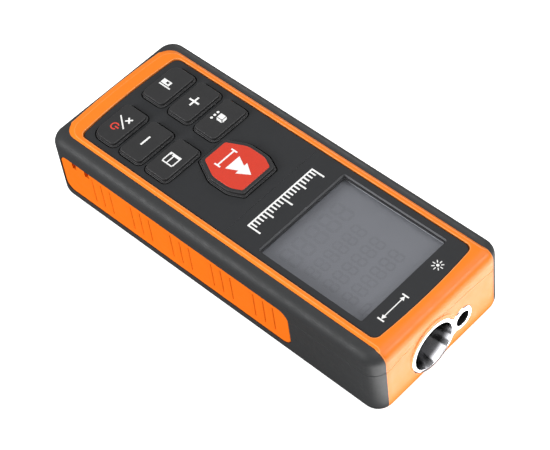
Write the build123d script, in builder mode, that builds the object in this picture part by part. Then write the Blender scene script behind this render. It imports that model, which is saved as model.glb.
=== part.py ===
"""Pocket laser distance meter with a soft bumper, seven keys, a display and two AAA cells.

Millimetres. The back lies on z = 0, +Y points out of the laser end, and +X is the right-hand
side for a user looking at the keys with the laser end away from them.
"""

import os

from build123d import *

os.makedirs("parts", exist_ok=True)

# ---------------------------------------------------------------- driving sizes

BODY_WIDTH = 50.0
BODY_LENGTH = 124.0
RIM_TOP = 26.2  # hard rim round the face
BUMPER_TOP = 25.8
PLAN_RADIUS = 5.2  # upright corners
BACK_RADIUS = 5.0  # edges round the back
SHOULDER_RADIUS = 3.6  # edges round the face

WALL = 1.8
SEAM_GAP = 0.15  # shadow line between upper and lower halves
FIT_GAP = 0.15  # side clearance round pieces that drop into openings
TOUCH_GAP = 0.02  # parts that bear on each other

LASER_END = BODY_LENGTH / 2
FOOT_END = -BODY_LENGTH / 2

# The halves meet on a crowned surface: high in the middle, low at the sides.
PARTING_CROWN_Z = 20.4
PARTING_SIDE_Z = 18.2

# Hard core that the soft bumper is moulded round.
RIM_HALF_WIDTH = 21.2
RIM_FOOT_END = FOOT_END + 2.1
RIM_BOW = 0.9  # how far the foot edge of the rim bulges
RIM_BASE = 23.0
RIM_BEVEL = 0.5  # height of the slope that runs down to the bumper
RIM_BEVEL_SIDE = 0.9
RIM_BEVEL_FOOT = 1.9
RIM_CORNER_RADIUS = 4.6
SKIRT_HALF_WIDTH = 22.6
SKIRT_FOOT_END = FOOT_END + 2.4
SKIRT_HEAD_END = LASER_END - 6.0
SKIRT_BASE = 3.2
SKIRT_TOP = 24.0
SKIRT_CORNER_RADIUS = 3.4
FLOOR_HALF_WIDTH = 18.5
FLOOR_FOOT_END = FOOT_END + 5.8
FLOOR_TOP = 1.8

# Face: the panels sit on the shell's roof, inside the rim.
ROOF_BOTTOM = 22.8
PANEL_SEAT = 24.3
PANEL_BOTTOM = 24.4
PANEL_TOP = 25.9
PANEL_HALF_WIDTH = 19.2  # of the seat in the rim
PANEL_FOOT_END = -54.4
PANEL_HEAD_END = 57.5
PANEL_BOW = 0.9  # how far each end of the panel bulges
PANEL_CORNER_RADIUS = 2.2
PANEL_SIDE_GAP = 0.3  # open groove between the panels and the rim
PANEL_SEAM_GAP = 0.08
PANEL_SEAM_Y = 2.3

# Display stack.
DISPLAY_Y = 31.8
WINDOW_WIDTH = 33.8
WINDOW_LENGTH = 36.4
WINDOW_RADIUS = 0.7
WINDOW_LEDGE = 0.5
WINDOW_SEAT = 24.9
GLASS_WIDTH = 34.6
GLASS_LENGTH = 37.6
GLASS_TOP = 23.6
GLASS_THICKNESS = 1.6
GLASS_LEDGE = 1.0  # the upper glass is this much shorter at the foot end
BACKLIGHT_THICKNESS = 1.2
GASKET_BAR = 0.6
CONNECTOR_WIDTH = 30.6
CONNECTOR_LENGTH = 0.9
CONNECTOR_ROOM = 1.4

# Keys: two columns of three, then the measure key on the centre line.
KEY_WIDTH = 13.6
KEY_LENGTH = 8.1
KEY_RADIUS = 1.3
KEY_OUTER_RADIUS = 2.8  # outer corner of the two keys nearest the foot end
KEY_EDGE_RADIUS = 0.18
KEY_COLUMN_X = 9.5
KEY_ROW_Y = -46.9
KEY_PITCH = 10.4
KEY_TOP = 27.0
KEY_STEP = 0.45  # width of the shoulder round each key cap
KEY_STEP_TOP = 25.95
KEY_GAP = 0.38
KEY_TRAVEL = 0.8
KEY_FLANGE_OVERLAP = 0.15
KEY_FLANGE = KEY_STEP + KEY_GAP + KEY_FLANGE_OVERLAP  # reach of the flange round each key
KEY_FLANGE_BASE = 23.5
KEY_STEM_RADIUS = 1.6
MEASURE_FOOT_END = -19.9
MEASURE_WIDE_FOOT = -13.1
MEASURE_WIDE_HEAD = -6.2
MEASURE_HEAD_END = -2.0
MEASURE_FOOT_HALF_WIDTH = 4.7
MEASURE_HALF_WIDTH = 8.0
MEASURE_HEAD_HALF_WIDTH = 6.0
MEASURE_CORNER_RADIUS = 0.9
MEASURE_SIDE_RADIUS = 6.0
MEASURE_LABEL_INSET = 1.05
MEASURE_LABEL_DEPTH = 0.6
MEASURE_LABEL_PROUD = 0.12
MEASURE_LABEL_EDGE = 0.1
KEY_WELL_HALF_WIDTH = 17.7
KEY_WELL_FOOT_END = -52.3
KEY_WELL_HEAD_END = 0.6

# Circuit board and switches.
BOARD_BOTTOM = 19.6
BOARD_THICKNESS = 1.0
BOARD_TOP = BOARD_BOTTOM + BOARD_THICKNESS
BOARD_HALF_WIDTH = 17.3
BOARD_CORNER_RADIUS = 1.5
BOARD_FOOT_END = -55.0
BOARD_HEAD_END = 51.4
SWITCH_SIZE = 4.2
SWITCH_BODY_HEIGHT = 1.2
SWITCH_BUTTON_RADIUS = 1.1
SWITCH_BUTTON_HEIGHT = 0.6
SWITCH_CORNER_RADIUS = 0.4
SWITCH_TOP = BOARD_TOP + SWITCH_BODY_HEIGHT + SWITCH_BUTTON_HEIGHT
KEY_STEM_TIP = SWITCH_TOP + KEY_TRAVEL + TOUCH_GAP
CHIPS = [(5.0, 4.0, 9.0, 9.0), (0, -14.0, 5.0, 6.0), (9.0, -26.0, 4.0, 5.0), (-9.0, -30.0, 6.0, 4.0)]
CHIP_HEIGHT = 1.4
BUZZER_SPOT = (-7.0, 3.5)
BUZZER_RADIUS = 4.5
BUZZER_HEIGHT = 4.0
BUZZER_HOLE_RADIUS = 0.9
BUZZER_HOLE_DEPTH = 1.2

# Side grips and the lanyard eye in the right-hand one.
GRIP_FOOT_END = -57.8
GRIP_HEAD_END = 30.8
GRIP_BOTTOM = 5.9
GRIP_TOP = 20.1
GRIP_RADIUS = 3.2
GRIP_FACE_X = 24.8
GRIP_EDGE_RADIUS = 0.4
GROOVE_GROUPS = 5
GROOVES_PER_GROUP = 3
GROOVE_GROUP_PITCH = 15.7
GROOVE_PITCH = 3.6
GROOVE_FIRST_Y = -41.0
GROOVE_WIDTH = 1.9
GROOVE_LENGTH = 9.6
GROOVE_Z = 13.6
GROOVE_DEPTH = 0.55  # of the slit
GROOVE_SLIT = 0.4  # width of the slit at the groove's head side
GROOVE_RAMP = 0.12  # depth of the slope where it meets the slit
LANYARD_Y = -49.3
LANYARD_SPACING = 5.1
LANYARD_SLOT_WIDTH = 1.7
LANYARD_SLOT_HEIGHT = 2.6
LANYARD_BRIDGE = 1.0

# Optics at the laser end.
OPTIC_Z = 11.5
LENS_X = 3.6
LASER_X = -7.9
BEZEL_FRONT = LASER_END + 0.3
BEZEL_DEPTH = 7.1
BEZEL_LENS_RADIUS = 8.4
BEZEL_LASER_RADIUS = 3.9
BEZEL_WAIST_RADIUS = 1.6
BEZEL_FLANGE = 1.0
COLLAR_WIDTH = 1.3
COLLAR_RISE = 0.9  # the collar is set this much higher than the lens, so it fades out below
COLLAR_PROUD = 0.3
COLLAR_CHAMFER = 0.25
BEZEL_HOLE_GAP = 0.1
BEZEL_FLANGE_THICKNESS = 1.2
BEZEL_EDGE_RADIUS = 0.4
LENS_MOUTH_RADIUS = 7.3
LENS_THROAT_RADIUS = 5.8
LASER_MOUTH_RADIUS = 2.45
LASER_THROAT_RADIUS = 2.0
NOSE_WALL_BACK = LASER_END - 2.6
CHASSIS_FRONT = 55.0
CHASSIS_BACK = 14.5
CHASSIS_PLATE_BOTTOM = 3.8
CHASSIS_PLATE_THICKNESS = 1.6
CHASSIS_PLATE_HALF_WIDTH = 12.6
CHASSIS_PLATE_SETBACK = 3.0  # the barrels reach this far past the foot plate
CHASSIS_PLATE_RADIUS = 2.0
CHASSIS_BRIDGE = 4.0  # rib between the two barrels
CHASSIS_WEB = 5.2  # height of the web under the barrels
CHASSIS_REAR_WEB = 4.0
BARREL_RADIUS = 7.7
BARREL_BORE_RADIUS = 6.2
BARREL_BACK = 22.0
BARREL_REAR_WALL = 2.0
SENSOR_HOLE_RADIUS = 2.6
LENS_RADIUS = 6.1
LENS_BACK = 49.0
LENS_EDGE = 1.6
LENS_BULGE = 1.4
RETAINER_GAP = 0.45  # the ring bears on the dome just inside the lens edge
RETAINER_WALL = 0.7
RETAINER_RECESS = 0.2
FILTER_RADIUS = 4.0
FILTER_THICKNESS = 0.9
LASER_BORE_RADIUS = 3.3
LASER_SLEEVE_RADIUS = 4.6
LASER_SLEEVE_BACK = 40.0
LASER_TUBE_RADIUS = 3.25
LASER_TUBE_LENGTH = 15.0
LASER_TUBE_FRONT = 54.0
LASER_TUBE_BACK = LASER_TUBE_FRONT - LASER_TUBE_LENGTH
LASER_TUBE_BORE_RADIUS = 2.5
COLLIMATOR_RADIUS = 2.48
COLLIMATOR_EDGE = 1.0
COLLIMATOR_BULGE = 0.7
COLLIMATOR_SETBACK = 3.2
DIODE_FLANGE_RADIUS = 2.8
DIODE_FLANGE_THICKNESS = 1.2
DIODE_CAN_RADIUS = 2.3
DIODE_CAN_LENGTH = 2.4
LASER_WINDOW_RADIUS = 3.2
LASER_WINDOW_THICKNESS = 0.8
SENSOR_BOARD_FRONT = 18.2
SENSOR_BOARD_Z = 12.0
SENSOR_BOARD_WIDTH = 10.0
SENSOR_BOARD_HEIGHT = 13.0
SENSOR_BOARD_THICKNESS = 1.0
SENSOR_RADIUS = 2.3
RIBBON_THICKNESS = 0.2
RIBBON_HALF_WIDTH = 3.0
RIBBON_FOOT_Z = 16.0
RIBBON_BEND = 2.2
RIBBON_REACH = 5.0
OPTICS_SCREW_SPOTS = [(-10.0, 18.5), (-10.0, 33.0), (10.6, 18.0)]

# Two AAA cells lie side by side behind the keys.
CELL_RADIUS = 5.25
CELL_LENGTH = 44.5
CELL_NUB_LENGTH = 1.0
CELL_NUB_RADIUS = 1.9
CELL_EDGE_RADIUS = 0.5
CELL_X = 5.55
CELL_Z = 8.1
BAY_HALF_WIDTH = 11.2
BAY_FOOT_END = -54.4
BAY_TOP = 13.6
BAY_WALL = 1.2
CONTACT_THICKNESS = 0.4
CONTACT_DIMPLE = 0.8
CONTACT_DIMPLE_RADIUS = 2.2
CONTACT_DIMPLE_TAPER = 25
CONTACT_WIDTH = 8.4
CONTACT_BRIDGE_WIDTH = 18.6
CONTACT_BOTTOM = 3.6
CONTACT_HEIGHT = 8.8
CONTACT_CENTRE_Z = CONTACT_BOTTOM + CONTACT_HEIGHT / 2
CONTACT_CORNER_RADIUS = 0.8
CONTACT_TAB_WIDTH = 2.0
CONTACT_TAB_TOP = 16.0
CONTACT_SPRING_LENGTH = 3.0
SPRING_WIRE_RADIUS = 0.25
SPRING_COIL_RADIUS = 2.4
SPRING_TURNS = 3
LEAD_RADIUS = 0.45
LEAD_SAG = 1.2
PIN_SPACING = 2.0
PIN_REACH = 4.5
BAY_LENGTH = 2 * CONTACT_THICKNESS + CONTACT_DIMPLE + CELL_LENGTH + CONTACT_SPRING_LENGTH
BAY_HEAD_END = BAY_FOOT_END + BAY_LENGTH

# Battery door in the back, hinged at the foot end.
DOOR_HALF_WIDTH = 13.0
DOOR_HEAD_END = -3.8
DOOR_BOTTOM = 0.05
DOOR_TOP = 1.6
DOOR_SEAT = 1.7
HINGE_Y = -54.0
HINGE_Z = 1.35
HINGE_KNUCKLE_RADIUS = 1.3
HINGE_KNUCKLE_HALF_WIDTH = 8.0
HINGE_CLEARANCE_RADIUS = 1.45
HINGE_SHOULDER = 1.6  # the door plate starts this far from the hinge axis beside the knuckle
HINGE_PIN_RADIUS = 0.75
HINGE_PIN_LENGTH = 1.4
HINGE_SLOT_TOP = 2.85
LATCH_WIDTH = 11.2
LATCH_LENGTH = 7.0
LATCH_SLIT = 0.8
LATCH_RIBS = 4
LATCH_RIB_PITCH = 1.6
LATCH_RIB_LENGTH = 9.0
LATCH_RIB_WIDTH = 0.8
LATCH_RIB_DEPTH = 0.4
LATCH_RIBS_SETBACK = 4.5
SCOOP_RADIUS = 3.3
SCOOP_DEPTH = 0.9
DOOR_PAD_Y = -30.0
DOOR_PAD_WIDTH = 16.0
DOOR_PAD_LENGTH = 12.0
DOOR_PAD_RADIUS = 1.0
DOOR_PAD_THICKNESS = 1.0

# Rating label in a shallow recess in the back.
LABEL_Y = 28.0
LABEL_WIDTH = 26.0
LABEL_LENGTH = 32.0
LABEL_RADIUS = 2.0
LABEL_THICKNESS = 0.2
LABEL_BOTTOM = 0.08
LABEL_RECESS_DEPTH = 0.3
LABEL_GAP = 0.2

# Case screws pass up through the lower shell into the roof of the upper one.
CASE_SCREW_SPOTS = [(-15.6, 54.6), (15.6, 54.6), (-15.6, 7.0), (15.6, 7.0)]
CASE_BOSS_RADIUS = 2.8
OPTICS_BOSS_RADIUS = 2.3
SCREW_HEAD_RADIUS = 1.9
SCREW_HEAD_HEIGHT = 1.3
SCREW_HEAD_ROUND = 0.35
SCREW_CROSS_LENGTH = 2.2
SCREW_CROSS_WIDTH = 0.5
SCREW_CROSS_DEPTH = 0.8
SCREW_TIP_CHAMFER = 0.3
SCREW_HOLE_SPARE = 0.3  # a blind hole is this much deeper than its screw
SCREW_SHAFT_RADIUS = 1.0
SCREW_CLEARANCE = 0.05
CASE_SCREW_HEAD_Z = 0.5
CASE_SCREW_LENGTH = 20.0
OPTICS_SCREW_LENGTH = 4.0


# ---------------------------------------------------------------- shared outlines and tools


def crosswise(y):
    """Plane across the body at this y; sketches read x, z and extrude toward the foot end."""
    return Plane.XZ.offset(-y)


def save(piece, name):
    """Label one sub-part and write it to its own file."""
    piece.label = name
    export_step(piece, f"parts/{name}.step")


def rounded_body(top):
    """The outside of the whole meter, closed off at this height with a rounded shoulder."""
    with BuildPart() as body:
        with BuildSketch():
            RectangleRounded(BODY_WIDTH, BODY_LENGTH, PLAN_RADIUS)
        extrude(amount=top)
        fillet(body.faces().sort_by(Axis.Z)[-1].edges(), SHOULDER_RADIUS)
        fillet(body.faces().sort_by(Axis.Z)[0].edges(), BACK_RADIUS)
    return body.part


def footed_outline(half_width, foot_end, head_end, radius):
    """Rectangle in plan with rounded corners at the foot end only."""
    with BuildSketch() as outline:
        with Locations((0, (foot_end + head_end) / 2)):
            Rectangle(2 * half_width, head_end - foot_end)
        fillet(outline.vertices().group_by(Axis.Y)[0], radius)
    return outline.sketch


def rim_outline(side_inset, foot_inset):
    """Rim in plan, shrunk at the sides and at the foot: the foot edge is bowed, its corners round."""
    side = RIM_HALF_WIDTH - side_inset
    foot = RIM_FOOT_END + foot_inset
    with BuildSketch() as outline:
        with BuildLine():
            ThreePointArc((-side, foot + RIM_BOW), (0, foot), (side, foot + RIM_BOW))
            Polyline((side, foot + RIM_BOW), (side, LASER_END), (-side, LASER_END), (-side, foot + RIM_BOW))
        make_face()
        fillet(outline.vertices().group_by(Axis.Y)[0], RIM_CORNER_RADIUS)
    return outline.sketch


def panel_outline(gap):
    """Face panel in plan, shrunk by this gap: straight sides and bowed ends."""
    side = PANEL_HALF_WIDTH - gap
    foot = PANEL_FOOT_END + gap
    head = PANEL_HEAD_END - gap
    with BuildSketch() as outline:
        with BuildLine():
            ThreePointArc((-side, foot + PANEL_BOW), (0, foot), (side, foot + PANEL_BOW))
            Line((side, foot + PANEL_BOW), (side, head - PANEL_BOW))
            ThreePointArc((side, head - PANEL_BOW), (0, head), (-side, head - PANEL_BOW))
            Line((-side, head - PANEL_BOW), (-side, foot + PANEL_BOW))
        make_face()
        fillet(outline.vertices(), PANEL_CORNER_RADIUS)
    return outline.sketch


def measure_outline(growth):
    """Measure key in plan, grown by this much: eight sides, with softer corners where it is widest."""
    right_side = [
        (MEASURE_FOOT_HALF_WIDTH, MEASURE_FOOT_END),
        (MEASURE_HALF_WIDTH, MEASURE_WIDE_FOOT),
        (MEASURE_HALF_WIDTH, MEASURE_WIDE_HEAD),
        (MEASURE_HEAD_HALF_WIDTH, MEASURE_HEAD_END),
    ]
    left_side = [(-x, y) for x, y in reversed(right_side)]
    with BuildSketch() as outline:
        with BuildLine():
            Polyline(*right_side, *left_side, close=True)
        make_face()
        if growth != 0:
            offset(amount=growth, kind=Kind.INTERSECTION)
        across = outline.vertices().group_by(Axis.X)
        fillet(across[0] + across[-1], MEASURE_SIDE_RADIUS)
        along = outline.vertices().group_by(Axis.Y)
        fillet(along[0] + along[-1], MEASURE_CORNER_RADIUS)
    return outline.sketch


def bezel_outline(growth):
    """Figure of eight round the lens and the laser, in x and z, grown by this much."""
    with BuildSketch() as outline:
        with Locations((LENS_X, OPTIC_Z)):
            Circle(BEZEL_LENS_RADIUS)
        with Locations((LASER_X, OPTIC_Z)):
            Circle(BEZEL_LASER_RADIUS)
        waist = outline.vertices().sort_by(Axis.Y)
        fillet([waist[0], waist[-1]], BEZEL_WAIST_RADIUS)
        if growth > 0:
            offset(amount=growth)
    return outline.sketch


def grip_outline(growth):
    """Side grip seen from the side, in y and z, grown by this much."""
    with BuildSketch() as outline:
        with Locations(((GRIP_FOOT_END + GRIP_HEAD_END) / 2, (GRIP_BOTTOM + GRIP_TOP) / 2)):
            RectangleRounded(
                GRIP_HEAD_END - GRIP_FOOT_END + 2 * growth,
                GRIP_TOP - GRIP_BOTTOM + 2 * growth,
                GRIP_RADIUS + growth,
            )
    return outline.sketch


def window_rectangle(growth):
    """Display window in plan, grown by this much."""
    with BuildSketch() as outline:
        with Locations((0, DISPLAY_Y)):
            RectangleRounded(WINDOW_WIDTH + 2 * growth, WINDOW_LENGTH + 2 * growth, WINDOW_RADIUS)
    return outline.sketch


def screw(shaft_length):
    """Cross-head screw standing on its head, which lies below z = 0."""
    with BuildPart() as body:
        with BuildSketch(Plane.XY.offset(-SCREW_HEAD_HEIGHT)):
            Circle(SCREW_HEAD_RADIUS)
        extrude(amount=SCREW_HEAD_HEIGHT)
        fillet(body.faces().sort_by(Axis.Z)[0].edges(), SCREW_HEAD_ROUND)
        with BuildSketch(Plane.XY.offset(-SCREW_HEAD_HEIGHT)):
            Rectangle(SCREW_CROSS_WIDTH, SCREW_CROSS_LENGTH)
            Rectangle(SCREW_CROSS_LENGTH, SCREW_CROSS_WIDTH)
        extrude(amount=SCREW_CROSS_DEPTH, mode=Mode.SUBTRACT)
        with BuildSketch():
            Circle(SCREW_SHAFT_RADIUS)
        extrude(amount=shaft_length)
        chamfer(body.faces().sort_by(Axis.Z)[-1].edges(), SCREW_TIP_CHAMFER)
    return body.part


# Everything above the crowned parting surface.
with BuildPart() as above_parting:
    with BuildSketch(Plane.XZ):
        with BuildLine():
            ThreePointArc(
                (-BODY_WIDTH / 2, PARTING_SIDE_Z),
                (0, PARTING_CROWN_Z),
                (BODY_WIDTH / 2, PARTING_SIDE_Z),
            )
            Polyline(
                (BODY_WIDTH / 2, PARTING_SIDE_Z),
                (BODY_WIDTH, PARTING_SIDE_Z),
                (BODY_WIDTH, BODY_WIDTH),
                (-BODY_WIDTH, BODY_WIDTH),
                (-BODY_WIDTH, PARTING_SIDE_Z),
                (-BODY_WIDTH / 2, PARTING_SIDE_Z),
            )
        make_face()
    extrude(amount=BODY_LENGTH, both=True)

upper_half_space = above_parting.part.moved(Location((0, 0, SEAM_GAP)))

# Hard plastic inside the bumper, as one block: rim, nose, skirt and floor.
with BuildPart() as hard_core:
    with BuildSketch(Plane.XY.offset(RIM_BASE)):
        add(rim_outline(0, 0))
    extrude(amount=RIM_TOP - RIM_BEVEL - RIM_BASE)
    with BuildSketch(Plane.XY.offset(RIM_TOP - RIM_BEVEL)):
        add(rim_outline(0, 0))
    with BuildSketch(Plane.XY.offset(RIM_TOP)):
        add(rim_outline(RIM_BEVEL_SIDE, RIM_BEVEL_FOOT))
    loft()
    with BuildSketch():
        with Locations((0, (SKIRT_HEAD_END + LASER_END) / 2)):
            Rectangle(2 * RIM_HALF_WIDTH, LASER_END - SKIRT_HEAD_END)
    extrude(amount=RIM_BASE)
    with BuildSketch(Plane.XY.offset(SKIRT_BASE)):
        add(footed_outline(SKIRT_HALF_WIDTH, SKIRT_FOOT_END, SKIRT_HEAD_END, SKIRT_CORNER_RADIUS))
    extrude(amount=SKIRT_TOP - SKIRT_BASE)
    with BuildSketch():
        add(footed_outline(FLOOR_HALF_WIDTH, FLOOR_FOOT_END, SKIRT_HEAD_END, SKIRT_CORNER_RADIUS))
    extrude(amount=SKIRT_BASE)
    add(rounded_body(RIM_TOP), mode=Mode.INTERSECT)
    # Low hood over the lens.
    with BuildSketch(crosswise(LASER_END + COLLAR_PROUD)):
        with Locations((LENS_X, OPTIC_Z + COLLAR_RISE)):
            Circle(BEZEL_LENS_RADIUS + COLLAR_WIDTH / 2)
    extrude(amount=2 * COLLAR_PROUD)
    chamfer(hard_core.faces().sort_by(Axis.Y)[-1].edges(), COLLAR_CHAMFER)

# Hollow inside the shells.
SKIRT_INSIDE_BASE = SKIRT_BASE + WALL
NOSE_INSIDE_HALF_WIDTH = RIM_HALF_WIDTH - WALL
with BuildPart() as cavity:
    with BuildSketch(Plane.XY.offset(SKIRT_INSIDE_BASE)):
        add(
            footed_outline(
                SKIRT_HALF_WIDTH - WALL,
                SKIRT_FOOT_END + WALL,
                SKIRT_HEAD_END - WALL,
                SKIRT_CORNER_RADIUS - WALL,
            )
        )
        with Locations((0, (SKIRT_HEAD_END - 2 * WALL + NOSE_WALL_BACK) / 2)):
            Rectangle(2 * NOSE_INSIDE_HALF_WIDTH, NOSE_WALL_BACK - SKIRT_HEAD_END + 2 * WALL)
    extrude(amount=ROOF_BOTTOM - SKIRT_INSIDE_BASE)
    with BuildSketch(Plane.XY.offset(FLOOR_TOP)):
        add(
            footed_outline(
                FLOOR_HALF_WIDTH - WALL,
                FLOOR_FOOT_END + WALL,
                SKIRT_HEAD_END - WALL / 2,
                SKIRT_CORNER_RADIUS - WALL,
            )
        )
    extrude(amount=SKIRT_INSIDE_BASE - FLOOR_TOP)

# Room for the bezel and its flange in the nose wall.
with BuildPart() as bezel_hole:
    with BuildSketch(crosswise(BEZEL_FRONT + BEZEL_HOLE_GAP)):
        add(bezel_outline(BEZEL_HOLE_GAP))
    extrude(amount=BEZEL_DEPTH + 2 * BEZEL_HOLE_GAP)
    with BuildSketch(crosswise(NOSE_WALL_BACK)):
        add(bezel_outline(BEZEL_FLANGE + FIT_GAP))
    extrude(amount=BEZEL_FLANGE_THICKNESS + 2 * FIT_GAP)

# Pockets in the bumpers for the two side grips.
with BuildPart() as grip_pockets:
    with BuildSketch(Plane.YZ.offset(SKIRT_HALF_WIDTH)):
        add(grip_outline(FIT_GAP))
    extrude(amount=BODY_WIDTH / 2)
    mirror(about=Plane.YZ)

# ---------------------------------------------------------------- shells and bumpers

with BuildPart() as upper_shell:
    add(hard_core.part)
    add(cavity.part, mode=Mode.SUBTRACT)
    # Screw bosses hang from the roof.
    with BuildSketch(Plane.XY.offset(FLOOR_TOP)):
        with Locations(*CASE_SCREW_SPOTS):
            Circle(CASE_BOSS_RADIUS)
    extrude(amount=ROOF_BOTTOM - FLOOR_TOP)
    add(upper_half_space, mode=Mode.INTERSECT)
    with BuildSketch(Plane.XY.offset(FLOOR_TOP)):
        with Locations(*CASE_SCREW_SPOTS):
            Circle(SCREW_SHAFT_RADIUS + SCREW_CLEARANCE)
    extrude(amount=CASE_SCREW_LENGTH + SCREW_HOLE_SPARE, mode=Mode.SUBTRACT)
    # Seat for the face panels.
    with BuildSketch(Plane.XY.offset(PANEL_SEAT)):
        add(panel_outline(0))
    extrude(amount=RIM_TOP - PANEL_SEAT, mode=Mode.SUBTRACT)
    # Openings in the roof for the keys and for the display glass.
    with BuildSketch(Plane.XY.offset(ROOF_BOTTOM)):
        with Locations((0, (KEY_WELL_FOOT_END + KEY_WELL_HEAD_END) / 2)):
            Rectangle(2 * KEY_WELL_HALF_WIDTH, KEY_WELL_HEAD_END - KEY_WELL_FOOT_END)
        with Locations((0, DISPLAY_Y)):
            Rectangle(GLASS_WIDTH + 2 * FIT_GAP, GLASS_LENGTH + 2 * FIT_GAP)
    extrude(amount=PANEL_SEAT - ROOF_BOTTOM, mode=Mode.SUBTRACT)
    add(bezel_hole.part, mode=Mode.SUBTRACT)
save(upper_shell.part, "upper_shell")

with BuildPart() as lower_shell:
    add(hard_core.part)
    add(cavity.part, mode=Mode.SUBTRACT)
    # Walls and ceiling of the battery bay.
    with BuildSketch(Plane.XY.offset(DOOR_SEAT)):
        with Locations((0, (BAY_FOOT_END + BAY_HEAD_END) / 2)):
            Rectangle(2 * (BAY_HALF_WIDTH + BAY_WALL), BAY_LENGTH + 2 * BAY_WALL)
    extrude(amount=BAY_TOP + BAY_WALL - DOOR_SEAT)
    # Screw bosses, up to the parting surface.
    with BuildSketch(Plane.XY.offset(FLOOR_TOP)):
        with Locations(*CASE_SCREW_SPOTS):
            Circle(CASE_BOSS_RADIUS)
    extrude(amount=ROOF_BOTTOM - FLOOR_TOP)
    add(above_parting.part, mode=Mode.SUBTRACT)
    # Bosses under the optics.
    with BuildSketch(Plane.XY.offset(FLOOR_TOP)):
        with Locations(*OPTICS_SCREW_SPOTS):
            Circle(OPTICS_BOSS_RADIUS)
    extrude(amount=CHASSIS_PLATE_BOTTOM - FLOOR_TOP)
    # Hollow of the bay, and the opening for the door plate.
    with BuildSketch():
        with Locations((0, (BAY_FOOT_END + BAY_HEAD_END) / 2)):
            Rectangle(2 * BAY_HALF_WIDTH, BAY_LENGTH)
    extrude(amount=BAY_TOP, mode=Mode.SUBTRACT)
    door_opening_half_width = DOOR_HALF_WIDTH + FIT_GAP
    door_opening_head = DOOR_HEAD_END + FIT_GAP
    with BuildSketch():
        with Locations((0, (HINGE_Y + door_opening_head) / 2)):
            Rectangle(2 * door_opening_half_width, door_opening_head - HINGE_Y)
    extrude(amount=DOOR_SEAT, mode=Mode.SUBTRACT)
    # Floor beside the hinge knuckle, ending in round lugs that carry the pins.
    with BuildSketch():
        with Locations((0, (FLOOR_FOOT_END + HINGE_Y) / 2)):
            Rectangle(2 * door_opening_half_width, HINGE_Y - FLOOR_FOOT_END)
    extrude(amount=HINGE_SLOT_TOP)
    with BuildSketch(Plane.YZ):
        with Locations((HINGE_Y, HINGE_Z)):
            Circle(HINGE_CLEARANCE_RADIUS)
        with Locations((HINGE_Y, -HINGE_Z)):
            Rectangle(4 * HINGE_CLEARANCE_RADIUS, 2 * HINGE_Z, mode=Mode.SUBTRACT)
    extrude(amount=door_opening_half_width, both=True)
    with BuildSketch(Plane.YZ):
        with Locations((HINGE_Y, HINGE_Z)):
            Circle(HINGE_CLEARANCE_RADIUS)
        with Locations((HINGE_Y, 0)):
            Rectangle(2 * HINGE_CLEARANCE_RADIUS, 2 * HINGE_Z)
        with Locations((HINGE_Y + HINGE_CLEARANCE_RADIUS, HINGE_SLOT_TOP / 2)):
            Rectangle(2 * HINGE_CLEARANCE_RADIUS, HINGE_SLOT_TOP)
    extrude(
        amount=HINGE_KNUCKLE_HALF_WIDTH + FIT_GAP,
        both=True,
        mode=Mode.SUBTRACT,
    )
    with BuildSketch(Plane.YZ):
        with Locations((HINGE_Y, HINGE_Z)):
            Circle(HINGE_PIN_RADIUS + SCREW_CLEARANCE)
    extrude(
        amount=HINGE_KNUCKLE_HALF_WIDTH + HINGE_PIN_LENGTH + FIT_GAP,
        both=True,
        mode=Mode.SUBTRACT,
    )
    # Slots in the bay ceiling for the two solder tabs.
    with BuildSketch(Plane.XY.offset(BAY_TOP)):
        with Locations(
            (-CELL_X, BAY_HEAD_END - CONTACT_THICKNESS / 2),
            (CELL_X, BAY_HEAD_END - CONTACT_THICKNESS / 2),
        ):
            Rectangle(CONTACT_TAB_WIDTH + 4 * FIT_GAP, 2 * CONTACT_THICKNESS)
    extrude(amount=BAY_WALL, mode=Mode.SUBTRACT)
    # Holes for both sets of screws.
    with BuildSketch():
        with Locations(*CASE_SCREW_SPOTS):
            Circle(SCREW_HEAD_RADIUS + 2 * SCREW_CLEARANCE)
    extrude(amount=CASE_SCREW_HEAD_Z + SCREW_HEAD_HEIGHT, mode=Mode.SUBTRACT)
    with BuildSketch():
        with Locations(*CASE_SCREW_SPOTS):
            Circle(SCREW_SHAFT_RADIUS + SCREW_CLEARANCE)
    extrude(amount=ROOF_BOTTOM, mode=Mode.SUBTRACT)
    with BuildSketch(Plane.XY.offset(CHASSIS_PLATE_BOTTOM)):
        with Locations(*OPTICS_SCREW_SPOTS):
            Circle(SCREW_SHAFT_RADIUS + SCREW_CLEARANCE)
    extrude(
        amount=CHASSIS_PLATE_THICKNESS - OPTICS_SCREW_LENGTH - SCREW_HOLE_SPARE,
        mode=Mode.SUBTRACT,
    )
    # Shallow recess for the rating label, and a thumb scoop beside the door.
    with BuildSketch():
        with Locations((0, LABEL_Y)):
            RectangleRounded(
                LABEL_WIDTH + 2 * LABEL_GAP,
                LABEL_LENGTH + 2 * LABEL_GAP,
                LABEL_RADIUS + LABEL_GAP,
            )
    extrude(amount=LABEL_RECESS_DEPTH, mode=Mode.SUBTRACT)
    with BuildSketch():
        with Locations((0, DOOR_HEAD_END + FIT_GAP)):
            Circle(SCOOP_RADIUS)
    extrude(amount=SCOOP_DEPTH, mode=Mode.SUBTRACT)
    add(bezel_hole.part, mode=Mode.SUBTRACT)
save(lower_shell.part, "lower_shell")

with BuildPart() as upper_bumper:
    add(rounded_body(BUMPER_TOP))
    add(hard_core.part, mode=Mode.SUBTRACT)
    add(upper_half_space, mode=Mode.INTERSECT)
    add(grip_pockets.part, mode=Mode.SUBTRACT)
save(upper_bumper.part, "upper_bumper")

with BuildPart() as lower_bumper:
    add(rounded_body(BUMPER_TOP))
    add(hard_core.part, mode=Mode.SUBTRACT)
    add(above_parting.part, mode=Mode.SUBTRACT)
    add(grip_pockets.part, mode=Mode.SUBTRACT)
save(lower_bumper.part, "lower_bumper")


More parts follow.
